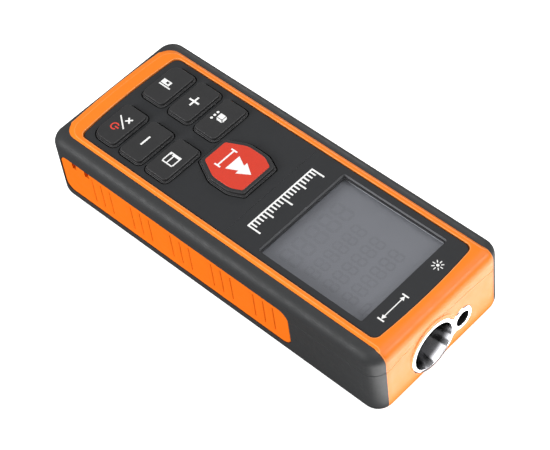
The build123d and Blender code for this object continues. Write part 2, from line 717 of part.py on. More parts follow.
def side_grip():
    """Grip pad for the right-hand side, with its groups of upright grooves."""
    with BuildPart() as grip:
        with BuildSketch(Plane.YZ.offset(SKIRT_HALF_WIDTH)):
            add(grip_outline(0))
        extrude(amount=GRIP_FACE_X - SKIRT_HALF_WIDTH)
        fillet(grip.faces().sort_by(Axis.X)[-1].edges(), GRIP_EDGE_RADIUS)
        # Each groove slopes in gently from its foot side and ends in a narrow slit.
        with BuildSketch(Plane.XY.offset(GROOVE_Z - GROOVE_LENGTH / 2)):
            for group in range(GROOVE_GROUPS):
                group_y = GROOVE_FIRST_Y + group * GROOVE_GROUP_PITCH
                with Locations((GRIP_FACE_X, group_y)):
                    with GridLocations(0, GROOVE_PITCH, 1, GROOVES_PER_GROUP):
                        Polygon(
                            (GROOVE_DEPTH, 0),
                            (-GROOVE_DEPTH, 0),
                            (-GROOVE_DEPTH, -GROOVE_SLIT),
                            (-GROOVE_RAMP, -GROOVE_SLIT),
                            (0, -GROOVE_WIDTH),
                            (GROOVE_DEPTH, -GROOVE_WIDTH),
                            align=None,
                        )
        extrude(amount=GROOVE_LENGTH, mode=Mode.SUBTRACT)
    return grip.part


with BuildPart() as right_grip:
    add(side_grip())
    # Lanyard eye: two slots in the top edge, joined behind a bridge.
    with BuildSketch(Plane.YZ.offset(SKIRT_HALF_WIDTH)):
        with Locations((LANYARD_Y, GRIP_TOP)):
            with GridLocations(LANYARD_SPACING, 0, 2, 1):
                Rectangle(LANYARD_SLOT_WIDTH, 2 * LANYARD_SLOT_HEIGHT)
    extrude(amount=BODY_WIDTH, mode=Mode.SUBTRACT)
    with BuildSketch(Plane.YZ.offset(SKIRT_HALF_WIDTH)):
        with Locations((LANYARD_Y, GRIP_TOP)):
            Rectangle(LANYARD_SPACING, 2 * LANYARD_SLOT_HEIGHT)
    extrude(
        amount=GRIP_FACE_X - SKIRT_HALF_WIDTH - LANYARD_BRIDGE,
        mode=Mode.SUBTRACT,
    )
save(right_grip.part, "right_grip")

with BuildPart() as left_grip:
    add(mirror(side_grip(), about=Plane.YZ, mode=Mode.PRIVATE))
save(left_grip.part, "left_grip")

# ---------------------------------------------------------------- keys

KEY_NAMES = {
    "reference_key": (-1, 0),
    "plus_key": (-1, 1),
    "menu_key": (-1, 2),
    "clear_key": (1, 0),
    "minus_key": (1, 1),
    "memory_key": (1, 2),
}


def key_centre(side, row):
    """Centre of a small key: side is -1 or 1, and row counts from the foot end."""
    return (side * KEY_COLUMN_X, KEY_ROW_Y + row * KEY_PITCH)


def key_outline(side, row, growth):
    """Small key in plan, grown by this much; in the first row the outer corner is rounder."""
    with BuildSketch() as outline:
        with Locations(key_centre(side, row)):
            Rectangle(KEY_WIDTH + 2 * growth, KEY_LENGTH + 2 * growth)
        fillet(outline.vertices().group_by(Axis.Y)[-1], KEY_RADIUS + growth)
        foot_corners = outline.vertices().group_by(Axis.Y)[0].sort_by(Axis.X, reverse=side > 0)
        outer_radius = KEY_OUTER_RADIUS if row == 0 else KEY_RADIUS
        fillet(foot_corners[0], outer_radius + growth)
        inner_corner = outline.vertices().group_by(Axis.Y)[0].sort_by(Axis.X, reverse=side > 0)[-1]
        fillet(inner_corner, KEY_RADIUS + growth)
    return outline.sketch


def key_body(outline, centre):
    """One key: flange under the panel, shoulder, cap and stem; outline(growth) is its plan."""
    with BuildPart() as key:
        with BuildSketch(Plane.XY.offset(KEY_FLANGE_BASE)):
            add(outline(0))
        extrude(amount=KEY_TOP - KEY_FLANGE_BASE)
        fillet(key.faces().sort_by(Axis.Z)[-1].edges(), KEY_EDGE_RADIUS)
        with BuildSketch(Plane.XY.offset(KEY_FLANGE_BASE)):
            add(outline(KEY_STEP))
        extrude(amount=KEY_STEP_TOP - KEY_FLANGE_BASE)
        with BuildSketch(Plane.XY.offset(KEY_FLANGE_BASE)):
            add(outline(KEY_FLANGE))
        extrude(amount=PANEL_BOTTOM - TOUCH_GAP - KEY_FLANGE_BASE)
        with BuildSketch(Plane.XY.offset(KEY_STEM_TIP)):
            with Locations(centre):
                Circle(KEY_STEM_RADIUS)
        extrude(amount=KEY_FLANGE_BASE - KEY_STEM_TIP)
    return key.part


MEASURE_CENTRE = (0, (MEASURE_FOOT_END + MEASURE_HEAD_END) / 2)
SMALL_KEY_SPOTS = [key_centre(side, row) for side, row in KEY_NAMES.values()]

for key_name, (side, row) in KEY_NAMES.items():
    with BuildPart() as small_key:
        add(key_body(lambda growth: key_outline(side, row, growth), key_centre(side, row)))
    save(small_key.part, key_name)

with BuildPart() as measure_key:
    add(key_body(measure_outline, MEASURE_CENTRE))
    # Seat for the coloured label.
    with BuildSketch(Plane.XY.offset(KEY_TOP - MEASURE_LABEL_DEPTH)):
        add(measure_outline(TOUCH_GAP - MEASURE_LABEL_INSET))
    extrude(amount=MEASURE_LABEL_DEPTH, mode=Mode.SUBTRACT)
save(measure_key.part, "measure_key")

with BuildPart() as measure_key_label:
    with BuildSketch(Plane.XY.offset(KEY_TOP - MEASURE_LABEL_DEPTH)):
        add(measure_outline(-MEASURE_LABEL_INSET))
    extrude(amount=MEASURE_LABEL_DEPTH + MEASURE_LABEL_PROUD)
    fillet(measure_key_label.faces().sort_by(Axis.Z)[-1].edges(), MEASURE_LABEL_EDGE)
save(measure_key_label.part, "measure_key_label")

# ---------------------------------------------------------------- face panels and display

with BuildPart() as keypad_panel:
    with BuildSketch(Plane.XY.offset(PANEL_BOTTOM)):
        add(panel_outline(PANEL_SIDE_GAP))
        with Locations((0, PANEL_SEAM_Y - PANEL_SEAM_GAP / 2 - BODY_LENGTH / 2)):
            Rectangle(BODY_WIDTH, BODY_LENGTH, mode=Mode.INTERSECT)
        for side, row in KEY_NAMES.values():
            add(key_outline(side, row, KEY_STEP + KEY_GAP), mode=Mode.SUBTRACT)
        add(measure_outline(KEY_STEP + KEY_GAP), mode=Mode.SUBTRACT)
    extrude(amount=PANEL_TOP - PANEL_BOTTOM)
save(keypad_panel.part, "keypad_panel")

with BuildPart() as display_panel:
    with BuildSketch(Plane.XY.offset(PANEL_BOTTOM)):
        add(panel_outline(PANEL_SIDE_GAP))
        with Locations((0, PANEL_SEAM_Y + PANEL_SEAM_GAP / 2 + BODY_LENGTH / 2)):
            Rectangle(BODY_WIDTH, BODY_LENGTH, mode=Mode.INTERSECT)
        add(window_rectangle(-WINDOW_LEDGE), mode=Mode.SUBTRACT)
    extrude(amount=PANEL_TOP - PANEL_BOTTOM)
    with BuildSketch(Plane.XY.offset(WINDOW_SEAT)):
        add(window_rectangle(0))
    extrude(amount=PANEL_TOP - WINDOW_SEAT, mode=Mode.SUBTRACT)
save(display_panel.part, "display_panel")

with BuildPart() as display_window:
    with BuildSketch(Plane.XY.offset(WINDOW_SEAT + TOUCH_GAP)):
        add(window_rectangle(-TOUCH_GAP))
    extrude(amount=PANEL_TOP - WINDOW_SEAT - 2 * TOUCH_GAP)
save(display_window.part, "display_window")

with BuildPart() as display_gasket:
    with BuildSketch(Plane.XY.offset(GLASS_TOP + TOUCH_GAP)):
        with Locations((0, DISPLAY_Y)):
            Rectangle(GLASS_WIDTH, GLASS_LENGTH)
            Rectangle(
                GLASS_WIDTH - 2 * GASKET_BAR,
                GLASS_LENGTH - 2 * GASKET_BAR,
                mode=Mode.SUBTRACT,
            )
    extrude(amount=PANEL_BOTTOM - GLASS_TOP - 2 * TOUCH_GAP)
save(display_gasket.part, "display_gasket")

with BuildPart() as display_module:
    with BuildSketch(Plane.XY.offset(GLASS_TOP - GLASS_THICKNESS)):
        with Locations((0, DISPLAY_Y)):
            Rectangle(GLASS_WIDTH, GLASS_LENGTH)
    extrude(amount=GLASS_THICKNESS)
    # The upper glass is shorter, so its contact ledge shows at the foot end.
    with BuildSketch(Plane.XY.offset(GLASS_TOP - GLASS_THICKNESS)):
        with Locations((0, DISPLAY_Y - GLASS_LENGTH / 2 + GLASS_LEDGE / 2)):
            Rectangle(GLASS_WIDTH, GLASS_LEDGE)
    extrude(amount=GLASS_THICKNESS / 2, mode=Mode.SUBTRACT)
save(display_module.part, "display_module")

BACKLIGHT_TOP = GLASS_TOP - GLASS_THICKNESS - TOUCH_GAP
with BuildPart() as display_backlight:
    with BuildSketch(Plane.XY.offset(BACKLIGHT_TOP - BACKLIGHT_THICKNESS)):
        with Locations((0, DISPLAY_Y + CONNECTOR_ROOM / 2)):
            Rectangle(GLASS_WIDTH, GLASS_LENGTH - 2 * CONNECTOR_ROOM)
    extrude(amount=BACKLIGHT_THICKNESS)
save(display_backlight.part, "display_backlight")

# Rubber strip that carries the signals from the board up to the glass ledge.
with BuildPart() as display_connector:
    with BuildSketch(Plane.XY.offset(BOARD_TOP + TOUCH_GAP)):
        with Locations((0, DISPLAY_Y - GLASS_LENGTH / 2 + GLASS_LEDGE / 2)):
            Rectangle(CONNECTOR_WIDTH, CONNECTOR_LENGTH)
    extrude(amount=GLASS_TOP - GLASS_THICKNESS / 2 - BOARD_TOP - 2 * TOUCH_GAP)
save(display_connector.part, "display_connector")

# ---------------------------------------------------------------- board and what it carries

with BuildPart() as main_board:
    with BuildSketch(Plane.XY.offset(BOARD_BOTTOM)):
        with Locations((0, (BOARD_FOOT_END + BOARD_HEAD_END) / 2)):
            RectangleRounded(
                2 * BOARD_HALF_WIDTH,
                BOARD_HEAD_END - BOARD_FOOT_END,
                BOARD_CORNER_RADIUS,
            )
        with Locations(*CASE_SCREW_SPOTS):
            Circle(CASE_BOSS_RADIUS + 2 * FIT_GAP, mode=Mode.SUBTRACT)
    extrude(amount=BOARD_THICKNESS)
save(main_board.part, "main_board")

with BuildPart() as key_switches:
    with BuildSketch(Plane.XY.offset(BOARD_TOP)):
        with Locations(*SMALL_KEY_SPOTS, MEASURE_CENTRE):
            RectangleRounded(SWITCH_SIZE, SWITCH_SIZE, SWITCH_CORNER_RADIUS)
    extrude(amount=SWITCH_BODY_HEIGHT)
    with BuildSketch(Plane.XY.offset(BOARD_TOP + SWITCH_BODY_HEIGHT)):
        with Locations(*SMALL_KEY_SPOTS, MEASURE_CENTRE):
            Circle(SWITCH_BUTTON_RADIUS)
    extrude(amount=SWITCH_BUTTON_HEIGHT)
save(key_switches.part, "key_switches")

with BuildPart() as circuit_chips:
    with BuildSketch(Plane.XY.offset(BOARD_BOTTOM)):
        for chip_x, chip_y, chip_width, chip_length in CHIPS:
            with Locations((chip_x, chip_y)):
                Rectangle(chip_width, chip_length)
    extrude(amount=-CHIP_HEIGHT)
save(circuit_chips.part, "circuit_chips")

with BuildPart() as buzzer:
    with BuildSketch(Plane.XY.offset(BOARD_BOTTOM)):
        with Locations(BUZZER_SPOT):
            Circle(BUZZER_RADIUS)
    extrude(amount=-BUZZER_HEIGHT)
    with BuildSketch(Plane.XY.offset(BOARD_BOTTOM - BUZZER_HEIGHT)):
        with Locations(BUZZER_SPOT):
            Circle(BUZZER_HOLE_RADIUS)
    extrude(amount=BUZZER_HOLE_DEPTH, mode=Mode.SUBTRACT)
save(buzzer.part, "buzzer")

# ---------------------------------------------------------------- optics

with BuildPart() as lens_bezel:
    with BuildSketch(crosswise(BEZEL_FRONT)):
        add(bezel_outline(0))
    extrude(amount=BEZEL_DEPTH)
    fillet(lens_bezel.faces().sort_by(Axis.Y)[-1].edges(), BEZEL_EDGE_RADIUS)
    with BuildSketch(crosswise(NOSE_WALL_BACK - FIT_GAP)):
        add(bezel_outline(BEZEL_FLANGE))
    extrude(amount=BEZEL_FLANGE_THICKNESS)
    # Polished funnels narrow toward the lens and toward the laser window.
    with BuildSketch(crosswise(BEZEL_FRONT)):
        with Locations((LENS_X, OPTIC_Z)):
            Circle(LENS_MOUTH_RADIUS)
    with BuildSketch(crosswise(BEZEL_FRONT - BEZEL_DEPTH)):
        with Locations((LENS_X, OPTIC_Z)):
            Circle(LENS_THROAT_RADIUS)
    loft(mode=Mode.SUBTRACT)
    with BuildSketch(crosswise(BEZEL_FRONT)):
        with Locations((LASER_X, OPTIC_Z)):
            Circle(LASER_MOUTH_RADIUS)
    with BuildSketch(crosswise(BEZEL_FRONT - BEZEL_DEPTH)):
        with Locations((LASER_X, OPTIC_Z)):
            Circle(LASER_THROAT_RADIUS)
    loft(mode=Mode.SUBTRACT)
save(lens_bezel.part, "lens_bezel")

with BuildPart() as optics_chassis:
    # Foot plate, the two barrels standing on it, and the rear wall for the sensor.
    plate_front = CHASSIS_FRONT - CHASSIS_PLATE_SETBACK
    barrels_x = (LENS_X + LASER_X) / 2
    with BuildSketch(Plane.XY.offset(CHASSIS_PLATE_BOTTOM)):
        with Locations((0, (CHASSIS_BACK + plate_front) / 2)):
            RectangleRounded(
                2 * CHASSIS_PLATE_HALF_WIDTH,
                plate_front - CHASSIS_BACK,
                CHASSIS_PLATE_RADIUS,
            )
    extrude(amount=CHASSIS_PLATE_THICKNESS)
    with BuildSketch(crosswise(CHASSIS_FRONT)):
        with Locations((LENS_X, OPTIC_Z)):
            Circle(BARREL_RADIUS)
        with Locations((LASER_X, OPTIC_Z)):
            Circle(LASER_SLEEVE_RADIUS)
        with Locations((barrels_x, OPTIC_Z)):
            Rectangle(LENS_X - LASER_X, CHASSIS_BRIDGE)
        with Locations((barrels_x, CHASSIS_PLATE_BOTTOM + CHASSIS_WEB / 2)):
            Rectangle(LENS_X - LASER_X, CHASSIS_WEB)
    extrude(amount=CHASSIS_FRONT - LASER_SLEEVE_BACK)
    with BuildSketch(crosswise(LASER_SLEEVE_BACK)):
        with Locations((LENS_X, OPTIC_Z)):
            Circle(BARREL_RADIUS)
        with Locations((LENS_X, CHASSIS_PLATE_BOTTOM + CHASSIS_REAR_WEB / 2)):
            Rectangle(BARREL_RADIUS, CHASSIS_REAR_WEB)
    extrude(amount=LASER_SLEEVE_BACK - BARREL_BACK)
    with BuildSketch(crosswise(CHASSIS_FRONT)):
        with Locations((LENS_X, OPTIC_Z)):
            Circle(BARREL_BORE_RADIUS)
    extrude(amount=CHASSIS_FRONT - BARREL_BACK - BARREL_REAR_WALL, mode=Mode.SUBTRACT)
    with BuildSketch(crosswise(BARREL_BACK + BARREL_REAR_WALL)):
        with Locations((LENS_X, OPTIC_Z)):
            Circle(SENSOR_HOLE_RADIUS)
    extrude(amount=BARREL_REAR_WALL, mode=Mode.SUBTRACT)
    with BuildSketch(crosswise(CHASSIS_FRONT)):
        with Locations((LASER_X, OPTIC_Z)):
            Circle(LASER_BORE_RADIUS)
    extrude(amount=CHASSIS_FRONT - LASER_SLEEVE_BACK, mode=Mode.SUBTRACT)
    with BuildSketch(Plane.XY.offset(CHASSIS_PLATE_BOTTOM)):
        with Locations(*OPTICS_SCREW_SPOTS):
            Circle(SCREW_SHAFT_RADIUS + SCREW_CLEARANCE)
    extrude(amount=CHASSIS_PLATE_THICKNESS, mode=Mode.SUBTRACT)
save(optics_chassis.part, "optics_chassis")


def lens(centre_x, back, radius, edge, bulge):
    """Glass disc with a flat back at this y and a domed front."""
    dome_radius = (radius**2 + bulge**2) / (2 * bulge)
    with BuildPart() as glass:
        with BuildSketch(crosswise(back + edge + bulge)):
            with Locations((centre_x, OPTIC_Z)):
                Circle(radius)
        extrude(amount=edge + bulge)
        with Locations((centre_x, back + edge + bulge - dome_radius, OPTIC_Z)):
            Sphere(dome_radius, mode=Mode.INTERSECT)
    return glass.part


receiver_lens = lens(LENS_X, LENS_BACK, LENS_RADIUS, LENS_EDGE, LENS_BULGE)
save(receiver_lens, "receiver_lens")

with BuildPart() as lens_retainer:
    retainer_front = CHASSIS_FRONT - RETAINER_RECESS
    with BuildSketch(crosswise(retainer_front)):
        with Locations((LENS_X, OPTIC_Z)):
            Circle(LENS_RADIUS)
            Circle(LENS_RADIUS - RETAINER_WALL, mode=Mode.SUBTRACT)
    extrude(amount=retainer_front - LENS_BACK - LENS_EDGE - RETAINER_GAP)
save(lens_retainer.part, "lens_retainer")

with BuildPart() as receiver_filter:
    filter_back = BARREL_BACK + BARREL_REAR_WALL + TOUCH_GAP
    with BuildSketch(crosswise(filter_back + FILTER_THICKNESS)):
        with Locations((LENS_X, OPTIC_Z)):
            Circle(FILTER_RADIUS)
    extrude(amount=FILTER_THICKNESS)
save(receiver_filter.part, "receiver_filter")

with BuildPart() as laser_tube:
    with BuildSketch(crosswise(LASER_TUBE_FRONT)):
        with Locations((LASER_X, OPTIC_Z)):
            Circle(LASER_TUBE_RADIUS)
            Circle(LASER_TUBE_BORE_RADIUS, mode=Mode.SUBTRACT)
    extrude(amount=LASER_TUBE_LENGTH)
save(laser_tube.part, "laser_tube")

collimator_lens = lens(
    LASER_X,
    LASER_TUBE_FRONT - COLLIMATOR_SETBACK,
    COLLIMATOR_RADIUS,
    COLLIMATOR_EDGE,
    COLLIMATOR_BULGE,
)
save(collimator_lens, "collimator_lens")

with BuildPart() as laser_diode:
    with BuildSketch(crosswise(LASER_TUBE_BACK - TOUCH_GAP)):
        with Locations((LASER_X, OPTIC_Z)):
            Circle(DIODE_FLANGE_RADIUS)
    extrude(amount=DIODE_FLANGE_THICKNESS)
    with BuildSketch(crosswise(LASER_TUBE_BACK + DIODE_CAN_LENGTH)):
        with Locations((LASER_X, OPTIC_Z)):
            Circle(DIODE_CAN_RADIUS)
    extrude(amount=DIODE_CAN_LENGTH + TOUCH_GAP)
save(laser_diode.part, "laser_diode")

with BuildPart() as laser_window:
    with BuildSketch(crosswise(BEZEL_FRONT - BEZEL_DEPTH - TOUCH_GAP)):
        with Locations((LASER_X, OPTIC_Z)):
            Circle(LASER_WINDOW_RADIUS)
    extrude(amount=LASER_WINDOW_THICKNESS)
save(laser_window.part, "laser_window")

with BuildPart() as sensor_board:
    with BuildSketch(crosswise(SENSOR_BOARD_FRONT)):
        with Locations((LENS_X, SENSOR_BOARD_Z)):
            Rectangle(SENSOR_BOARD_WIDTH, SENSOR_BOARD_HEIGHT)
    extrude(amount=SENSOR_BOARD_THICKNESS)
save(sensor_board.part, "sensor_board")

with BuildPart() as photodiode:
    with BuildSketch(crosswise(BARREL_BACK - TOUCH_GAP)):
        with Locations((LENS_X, OPTIC_Z)):
            Circle(SENSOR_RADIUS)
    extrude(amount=BARREL_BACK - 2 * TOUCH_GAP - SENSOR_BOARD_FRONT)
save(photodiode.part, "photodiode")

# Flat ribbon from the back of the sensor board up to the main board.
with BuildPart() as sensor_cable:
    ribbon_foot_y = SENSOR_BOARD_FRONT - SENSOR_BOARD_THICKNESS - TOUCH_GAP - RIBBON_THICKNESS / 2
    ribbon_top_z = BOARD_BOTTOM - TOUCH_GAP - RIBBON_THICKNESS / 2
    with BuildSketch(Plane.YZ.offset(LENS_X)):
        with BuildLine():
            Polyline(
                (ribbon_foot_y, RIBBON_FOOT_Z),
                (ribbon_foot_y, ribbon_top_z - RIBBON_BEND / 4),
                (ribbon_foot_y - RIBBON_BEND, ribbon_top_z),
                (ribbon_foot_y - RIBBON_REACH, ribbon_top_z),
            )
            offset(amount=RIBBON_THICKNESS / 2, side=Side.BOTH)
        make_face()
    extrude(amount=RIBBON_HALF_WIDTH, both=True)
save(sensor_cable.part, "sensor_cable")

with BuildPart() as optics_screws:
    optics_screw = screw(OPTICS_SCREW_LENGTH)
    for x, y in OPTICS_SCREW_SPOTS:
        head_z = CHASSIS_PLATE_BOTTOM + CHASSIS_PLATE_THICKNESS
        add(optics_screw.moved(Location((x, y, head_z), (180, 0, 0))))
save(optics_screws.part, "optics_screws")

with BuildPart() as case_screws:
    case_screw = screw(CASE_SCREW_LENGTH - CASE_SCREW_HEAD_Z)
    for x, y in CASE_SCREW_SPOTS:
        add(case_screw.moved(Location((x, y, CASE_SCREW_HEAD_Z + SCREW_HEAD_HEIGHT))))
save(case_screws.part, "case_screws")

# ---------------------------------------------------------------- batteries


def aaa_cell(x, end_y, toward_laser):
    """One cell whose nub ends at end_y; the nub points to the laser end if toward_laser."""
    turn = 1 if toward_laser else -1
    with BuildPart() as cell:
        with BuildSketch(crosswise(end_y - turn * CELL_NUB_LENGTH)):
            with Locations((x, CELL_Z)):
                Circle(CELL_RADIUS)
        extrude(amount=turn * (CELL_LENGTH - CELL_NUB_LENGTH))
        fillet(cell.edges().filter_by(GeomType.CIRCLE), CELL_EDGE_RADIUS)
        with BuildSketch(crosswise(end_y)):
            with Locations((x, CELL_Z)):
                Circle(CELL_NUB_RADIUS)
        extrude(amount=turn * CELL_NUB_LENGTH)
    return cell.part


LEFT_CELL_NUB_Y = BAY_HEAD_END - CONTACT_THICKNESS - CONTACT_DIMPLE
RIGHT_CELL_NUB_Y = BAY_FOOT_END + CONTACT_THICKNESS + CONTACT_DIMPLE
save(aaa_cell(-CELL_X, LEFT_CELL_NUB_Y, True), "left_cell")
save(aaa_cell(CELL_X, RIGHT_CELL_NUB_Y, False), "right_cell")


def contact_dimple(x, y, toward_laser):
    """Domed button on a contact plate, standing off from the plate face at y."""
    turn = 1 if toward_laser else -1
    with BuildPart() as dimple:
        with BuildSketch(crosswise(y)):
            with Locations((x, CELL_Z)):
                Circle(CONTACT_DIMPLE_RADIUS)
        extrude(amount=-turn * (CONTACT_DIMPLE - TOUCH_GAP), taper=CONTACT_DIMPLE_TAPER)
    return dimple.part


with BuildPart() as battery_bridge:
    with BuildSketch(crosswise(BAY_FOOT_END + CONTACT_THICKNESS)):
        with Locations((0, CONTACT_CENTRE_Z)):
            RectangleRounded(CONTACT_BRIDGE_WIDTH, CONTACT_HEIGHT, CONTACT_CORNER_RADIUS)
    extrude(amount=CONTACT_THICKNESS - TOUCH_GAP)
    add(contact_dimple(CELL_X, BAY_FOOT_END + CONTACT_THICKNESS, True))
save(battery_bridge.part, "battery_bridge")


def head_contact(x):
    """Contact plate at the laser end of the bay, with a solder tab through the ceiling."""
    with BuildPart() as contact:
        with BuildSketch(crosswise(BAY_HEAD_END - TOUCH_GAP)):
            with Locations((x, CONTACT_CENTRE_Z)):
                RectangleRounded(CONTACT_WIDTH, CONTACT_HEIGHT, CONTACT_CORNER_RADIUS)
            with Locations((x, (CONTACT_CENTRE_Z + CONTACT_TAB_TOP) / 2)):
                Rectangle(CONTACT_TAB_WIDTH, CONTACT_TAB_TOP - CONTACT_CENTRE_Z)
        extrude(amount=CONTACT_THICKNESS - TOUCH_GAP)
    return contact.part


with BuildPart() as positive_contact:
    add(head_contact(-CELL_X))
    add(contact_dimple(-CELL_X, BAY_HEAD_END - CONTACT_THICKNESS, False))
save(positive_contact.part, "positive_contact")

with BuildPart() as negative_contact:
    add(head_contact(CELL_X))
save(negative_contact.part, "negative_contact")


def contact_spring(x, start_y):
    """Coil between a contact plate and a cell, filling the gap from start_y toward +Y."""
    margin = SPRING_WIRE_RADIUS + TOUCH_GAP
    free_length = CONTACT_SPRING_LENGTH - 2 * margin
    with BuildPart() as spring:
        with BuildLine() as coil:
            Helix(
                pitch=free_length / SPRING_TURNS,
                height=free_length,
                radius=SPRING_COIL_RADIUS,
                center=(x, start_y + margin, CELL_Z),
                direction=(0, 1, 0),
            )
        with BuildSketch(Plane(origin=coil.line @ 0, z_dir=coil.line % 0)):
            Circle(SPRING_WIRE_RADIUS)
        sweep()
    return spring.part


with BuildPart() as contact_springs:
    add(contact_spring(-CELL_X, BAY_FOOT_END + CONTACT_THICKNESS))
    add(contact_spring(CELL_X, BAY_HEAD_END - CONTACT_THICKNESS - CONTACT_SPRING_LENGTH))
save(contact_springs.part, "contact_springs")

with BuildPart() as battery_leads:
    for x in (-CELL_X, CELL_X):
        with BuildLine() as lead_path:
            Spline(
                (x, BAY_HEAD_END - CONTACT_THICKNESS / 2, CONTACT_TAB_TOP + TOUCH_GAP),
                (x, BAY_HEAD_END + LEAD_SAG, (CONTACT_TAB_TOP + BOARD_BOTTOM) / 2),
                (x, BAY_HEAD_END, BOARD_BOTTOM - TOUCH_GAP),
                tangents=((0, 0, 1), (0, 0, 1)),
            )
        with BuildSketch(Plane(origin=lead_path.line @ 0, z_dir=lead_path.line % 0)):
            Circle(LEAD_RADIUS)
        sweep()
save(battery_leads.part, "battery_leads")

with BuildPart() as laser_leads:
    pins_start = LASER_TUBE_BACK - DIODE_FLANGE_THICKNESS - 2 * TOUCH_GAP
    for pin_x in (LASER_X - PIN_SPACING / 2, LASER_X + PIN_SPACING / 2):
        with BuildLine() as pin_path:
            Spline(
                (pin_x, pins_start, OPTIC_Z),
                (pin_x, pins_start - PIN_REACH, (OPTIC_Z + BOARD_BOTTOM) / 2),
                (pin_x, pins_start - PIN_REACH, BOARD_BOTTOM - TOUCH_GAP),
                tangents=((0, -1, 0), (0, 0, 1)),
            )
        with BuildSketch(Plane(origin=pin_path.line @ 0, z_dir=pin_path.line % 0)):
            Circle(LEAD_RADIUS)
        sweep()
save(laser_leads.part, "laser_leads")

# ---------------------------------------------------------------- back of the meter

with BuildPart() as battery_door:
    door_foot = HINGE_Y + HINGE_SHOULDER + FIT_GAP
    with BuildSketch(Plane.XY.offset(DOOR_BOTTOM)):
        with Locations((0, (door_foot + DOOR_HEAD_END) / 2)):
            Rectangle(2 * DOOR_HALF_WIDTH, DOOR_HEAD_END - door_foot)
        with Locations((0, HINGE_Y + HINGE_SHOULDER)):
            Rectangle(2 * HINGE_KNUCKLE_HALF_WIDTH, 2 * HINGE_SHOULDER)
    extrude(amount=DOOR_TOP - DOOR_BOTTOM)
    # Hinge knuckle with a pin at each end.
    with BuildSketch(Plane.YZ):
        with Locations((HINGE_Y, HINGE_Z)):
            Circle(HINGE_KNUCKLE_RADIUS)
    extrude(amount=HINGE_KNUCKLE_HALF_WIDTH, both=True)
    with BuildSketch(Plane.YZ):
        with Locations((HINGE_Y, HINGE_Z)):
            Circle(HINGE_PIN_RADIUS)
    extrude(amount=HINGE_KNUCKLE_HALF_WIDTH + HINGE_PIN_LENGTH, both=True)
    # Springy latch tongue between two slits, with ribs for the thumb.
    with BuildSketch(Plane.XY.offset(DOOR_BOTTOM)):
        with Locations((0, DOOR_HEAD_END - LATCH_LENGTH / 2)):
            with GridLocations(LATCH_WIDTH + LATCH_SLIT, 0, 2, 1):
                Rectangle(LATCH_SLIT, LATCH_LENGTH)
    extrude(amount=DOOR_TOP - DOOR_BOTTOM, mode=Mode.SUBTRACT)
    with BuildSketch(Plane.XY.offset(DOOR_BOTTOM)):
        with Locations((0, DOOR_HEAD_END - LATCH_RIBS_SETBACK)):
            with GridLocations(0, LATCH_RIB_PITCH, 1, LATCH_RIBS):
                SlotOverall(LATCH_RIB_LENGTH, LATCH_RIB_WIDTH)
    extrude(amount=LATCH_RIB_DEPTH, mode=Mode.SUBTRACT)
save(battery_door.part, "battery_door")

with BuildPart() as door_pad:
    with BuildSketch(Plane.XY.offset(DOOR_TOP)):
        with Locations((0, DOOR_PAD_Y)):
            RectangleRounded(DOOR_PAD_WIDTH, DOOR_PAD_LENGTH, DOOR_PAD_RADIUS)
    extrude(amount=DOOR_PAD_THICKNESS)
save(door_pad.part, "door_pad")

with BuildPart() as rating_label:
    with BuildSketch(Plane.XY.offset(LABEL_BOTTOM)):
        with Locations((0, LABEL_Y)):
            RectangleRounded(LABEL_WIDTH, LABEL_LENGTH, LABEL_RADIUS)
    extrude(amount=LABEL_THICKNESS)
save(rating_label.part, "rating_label")
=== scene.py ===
"""Looks, printed marks, light and camera for a pocket laser distance meter.

Metres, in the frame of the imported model: the back lies on z = 0, +Y points out of the laser end,
and +X is the right-hand side for a user who reads the keys with the laser end away from them.
"""

import math

import bmesh
import bpy
from mathutils import Matrix, Vector


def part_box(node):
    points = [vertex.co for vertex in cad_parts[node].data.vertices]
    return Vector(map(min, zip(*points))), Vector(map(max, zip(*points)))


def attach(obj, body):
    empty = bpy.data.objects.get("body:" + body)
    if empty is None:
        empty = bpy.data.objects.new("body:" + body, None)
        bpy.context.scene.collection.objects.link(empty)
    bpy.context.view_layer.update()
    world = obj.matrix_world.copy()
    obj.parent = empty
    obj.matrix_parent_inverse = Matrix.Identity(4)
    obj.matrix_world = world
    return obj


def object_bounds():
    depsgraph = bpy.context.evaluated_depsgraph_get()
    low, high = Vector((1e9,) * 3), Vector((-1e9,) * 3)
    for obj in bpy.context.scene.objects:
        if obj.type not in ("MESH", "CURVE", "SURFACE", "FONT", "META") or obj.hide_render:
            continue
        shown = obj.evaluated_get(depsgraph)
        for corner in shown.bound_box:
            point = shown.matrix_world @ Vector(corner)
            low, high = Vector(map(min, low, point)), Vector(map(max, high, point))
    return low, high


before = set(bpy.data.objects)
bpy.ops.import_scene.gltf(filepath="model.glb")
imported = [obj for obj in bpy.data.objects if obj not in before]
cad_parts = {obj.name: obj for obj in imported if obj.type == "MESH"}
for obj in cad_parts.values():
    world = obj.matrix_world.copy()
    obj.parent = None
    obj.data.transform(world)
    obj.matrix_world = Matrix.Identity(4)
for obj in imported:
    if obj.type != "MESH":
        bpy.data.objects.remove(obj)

MM = 0.001
cad_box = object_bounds()

# ---------------------------------------------------------------- driving values

# Camera: where it stands round the object, in degrees and metres.
VIEW_AZIMUTH = 140.19
VIEW_ELEVATION = 50.85
VIEW_ROLL = -8.72
VIEW_DISTANCE = 502.2 * MM
VIEW_LENS = 119.71
VIEW_SENSOR = 36.0
AIM_OFFSET = Vector((1.23, 3.09, -0.56)) * MM

# Light: the room's own, the floor's, and the softboxes'.
AMBIENT = 0.34
FLOOR_SIZE = 4.0
FLOOR_BOUNCE = 0.16  # share of light the floor throws back at the object
FLOOR_GLOW = 0.74  # what the camera sees on top of the lit floor
TOUCH_LENGTH = 1.2 * MM  # faces closer than this to the floor are lit by it
LIGHT_DISTANCE = 0.9

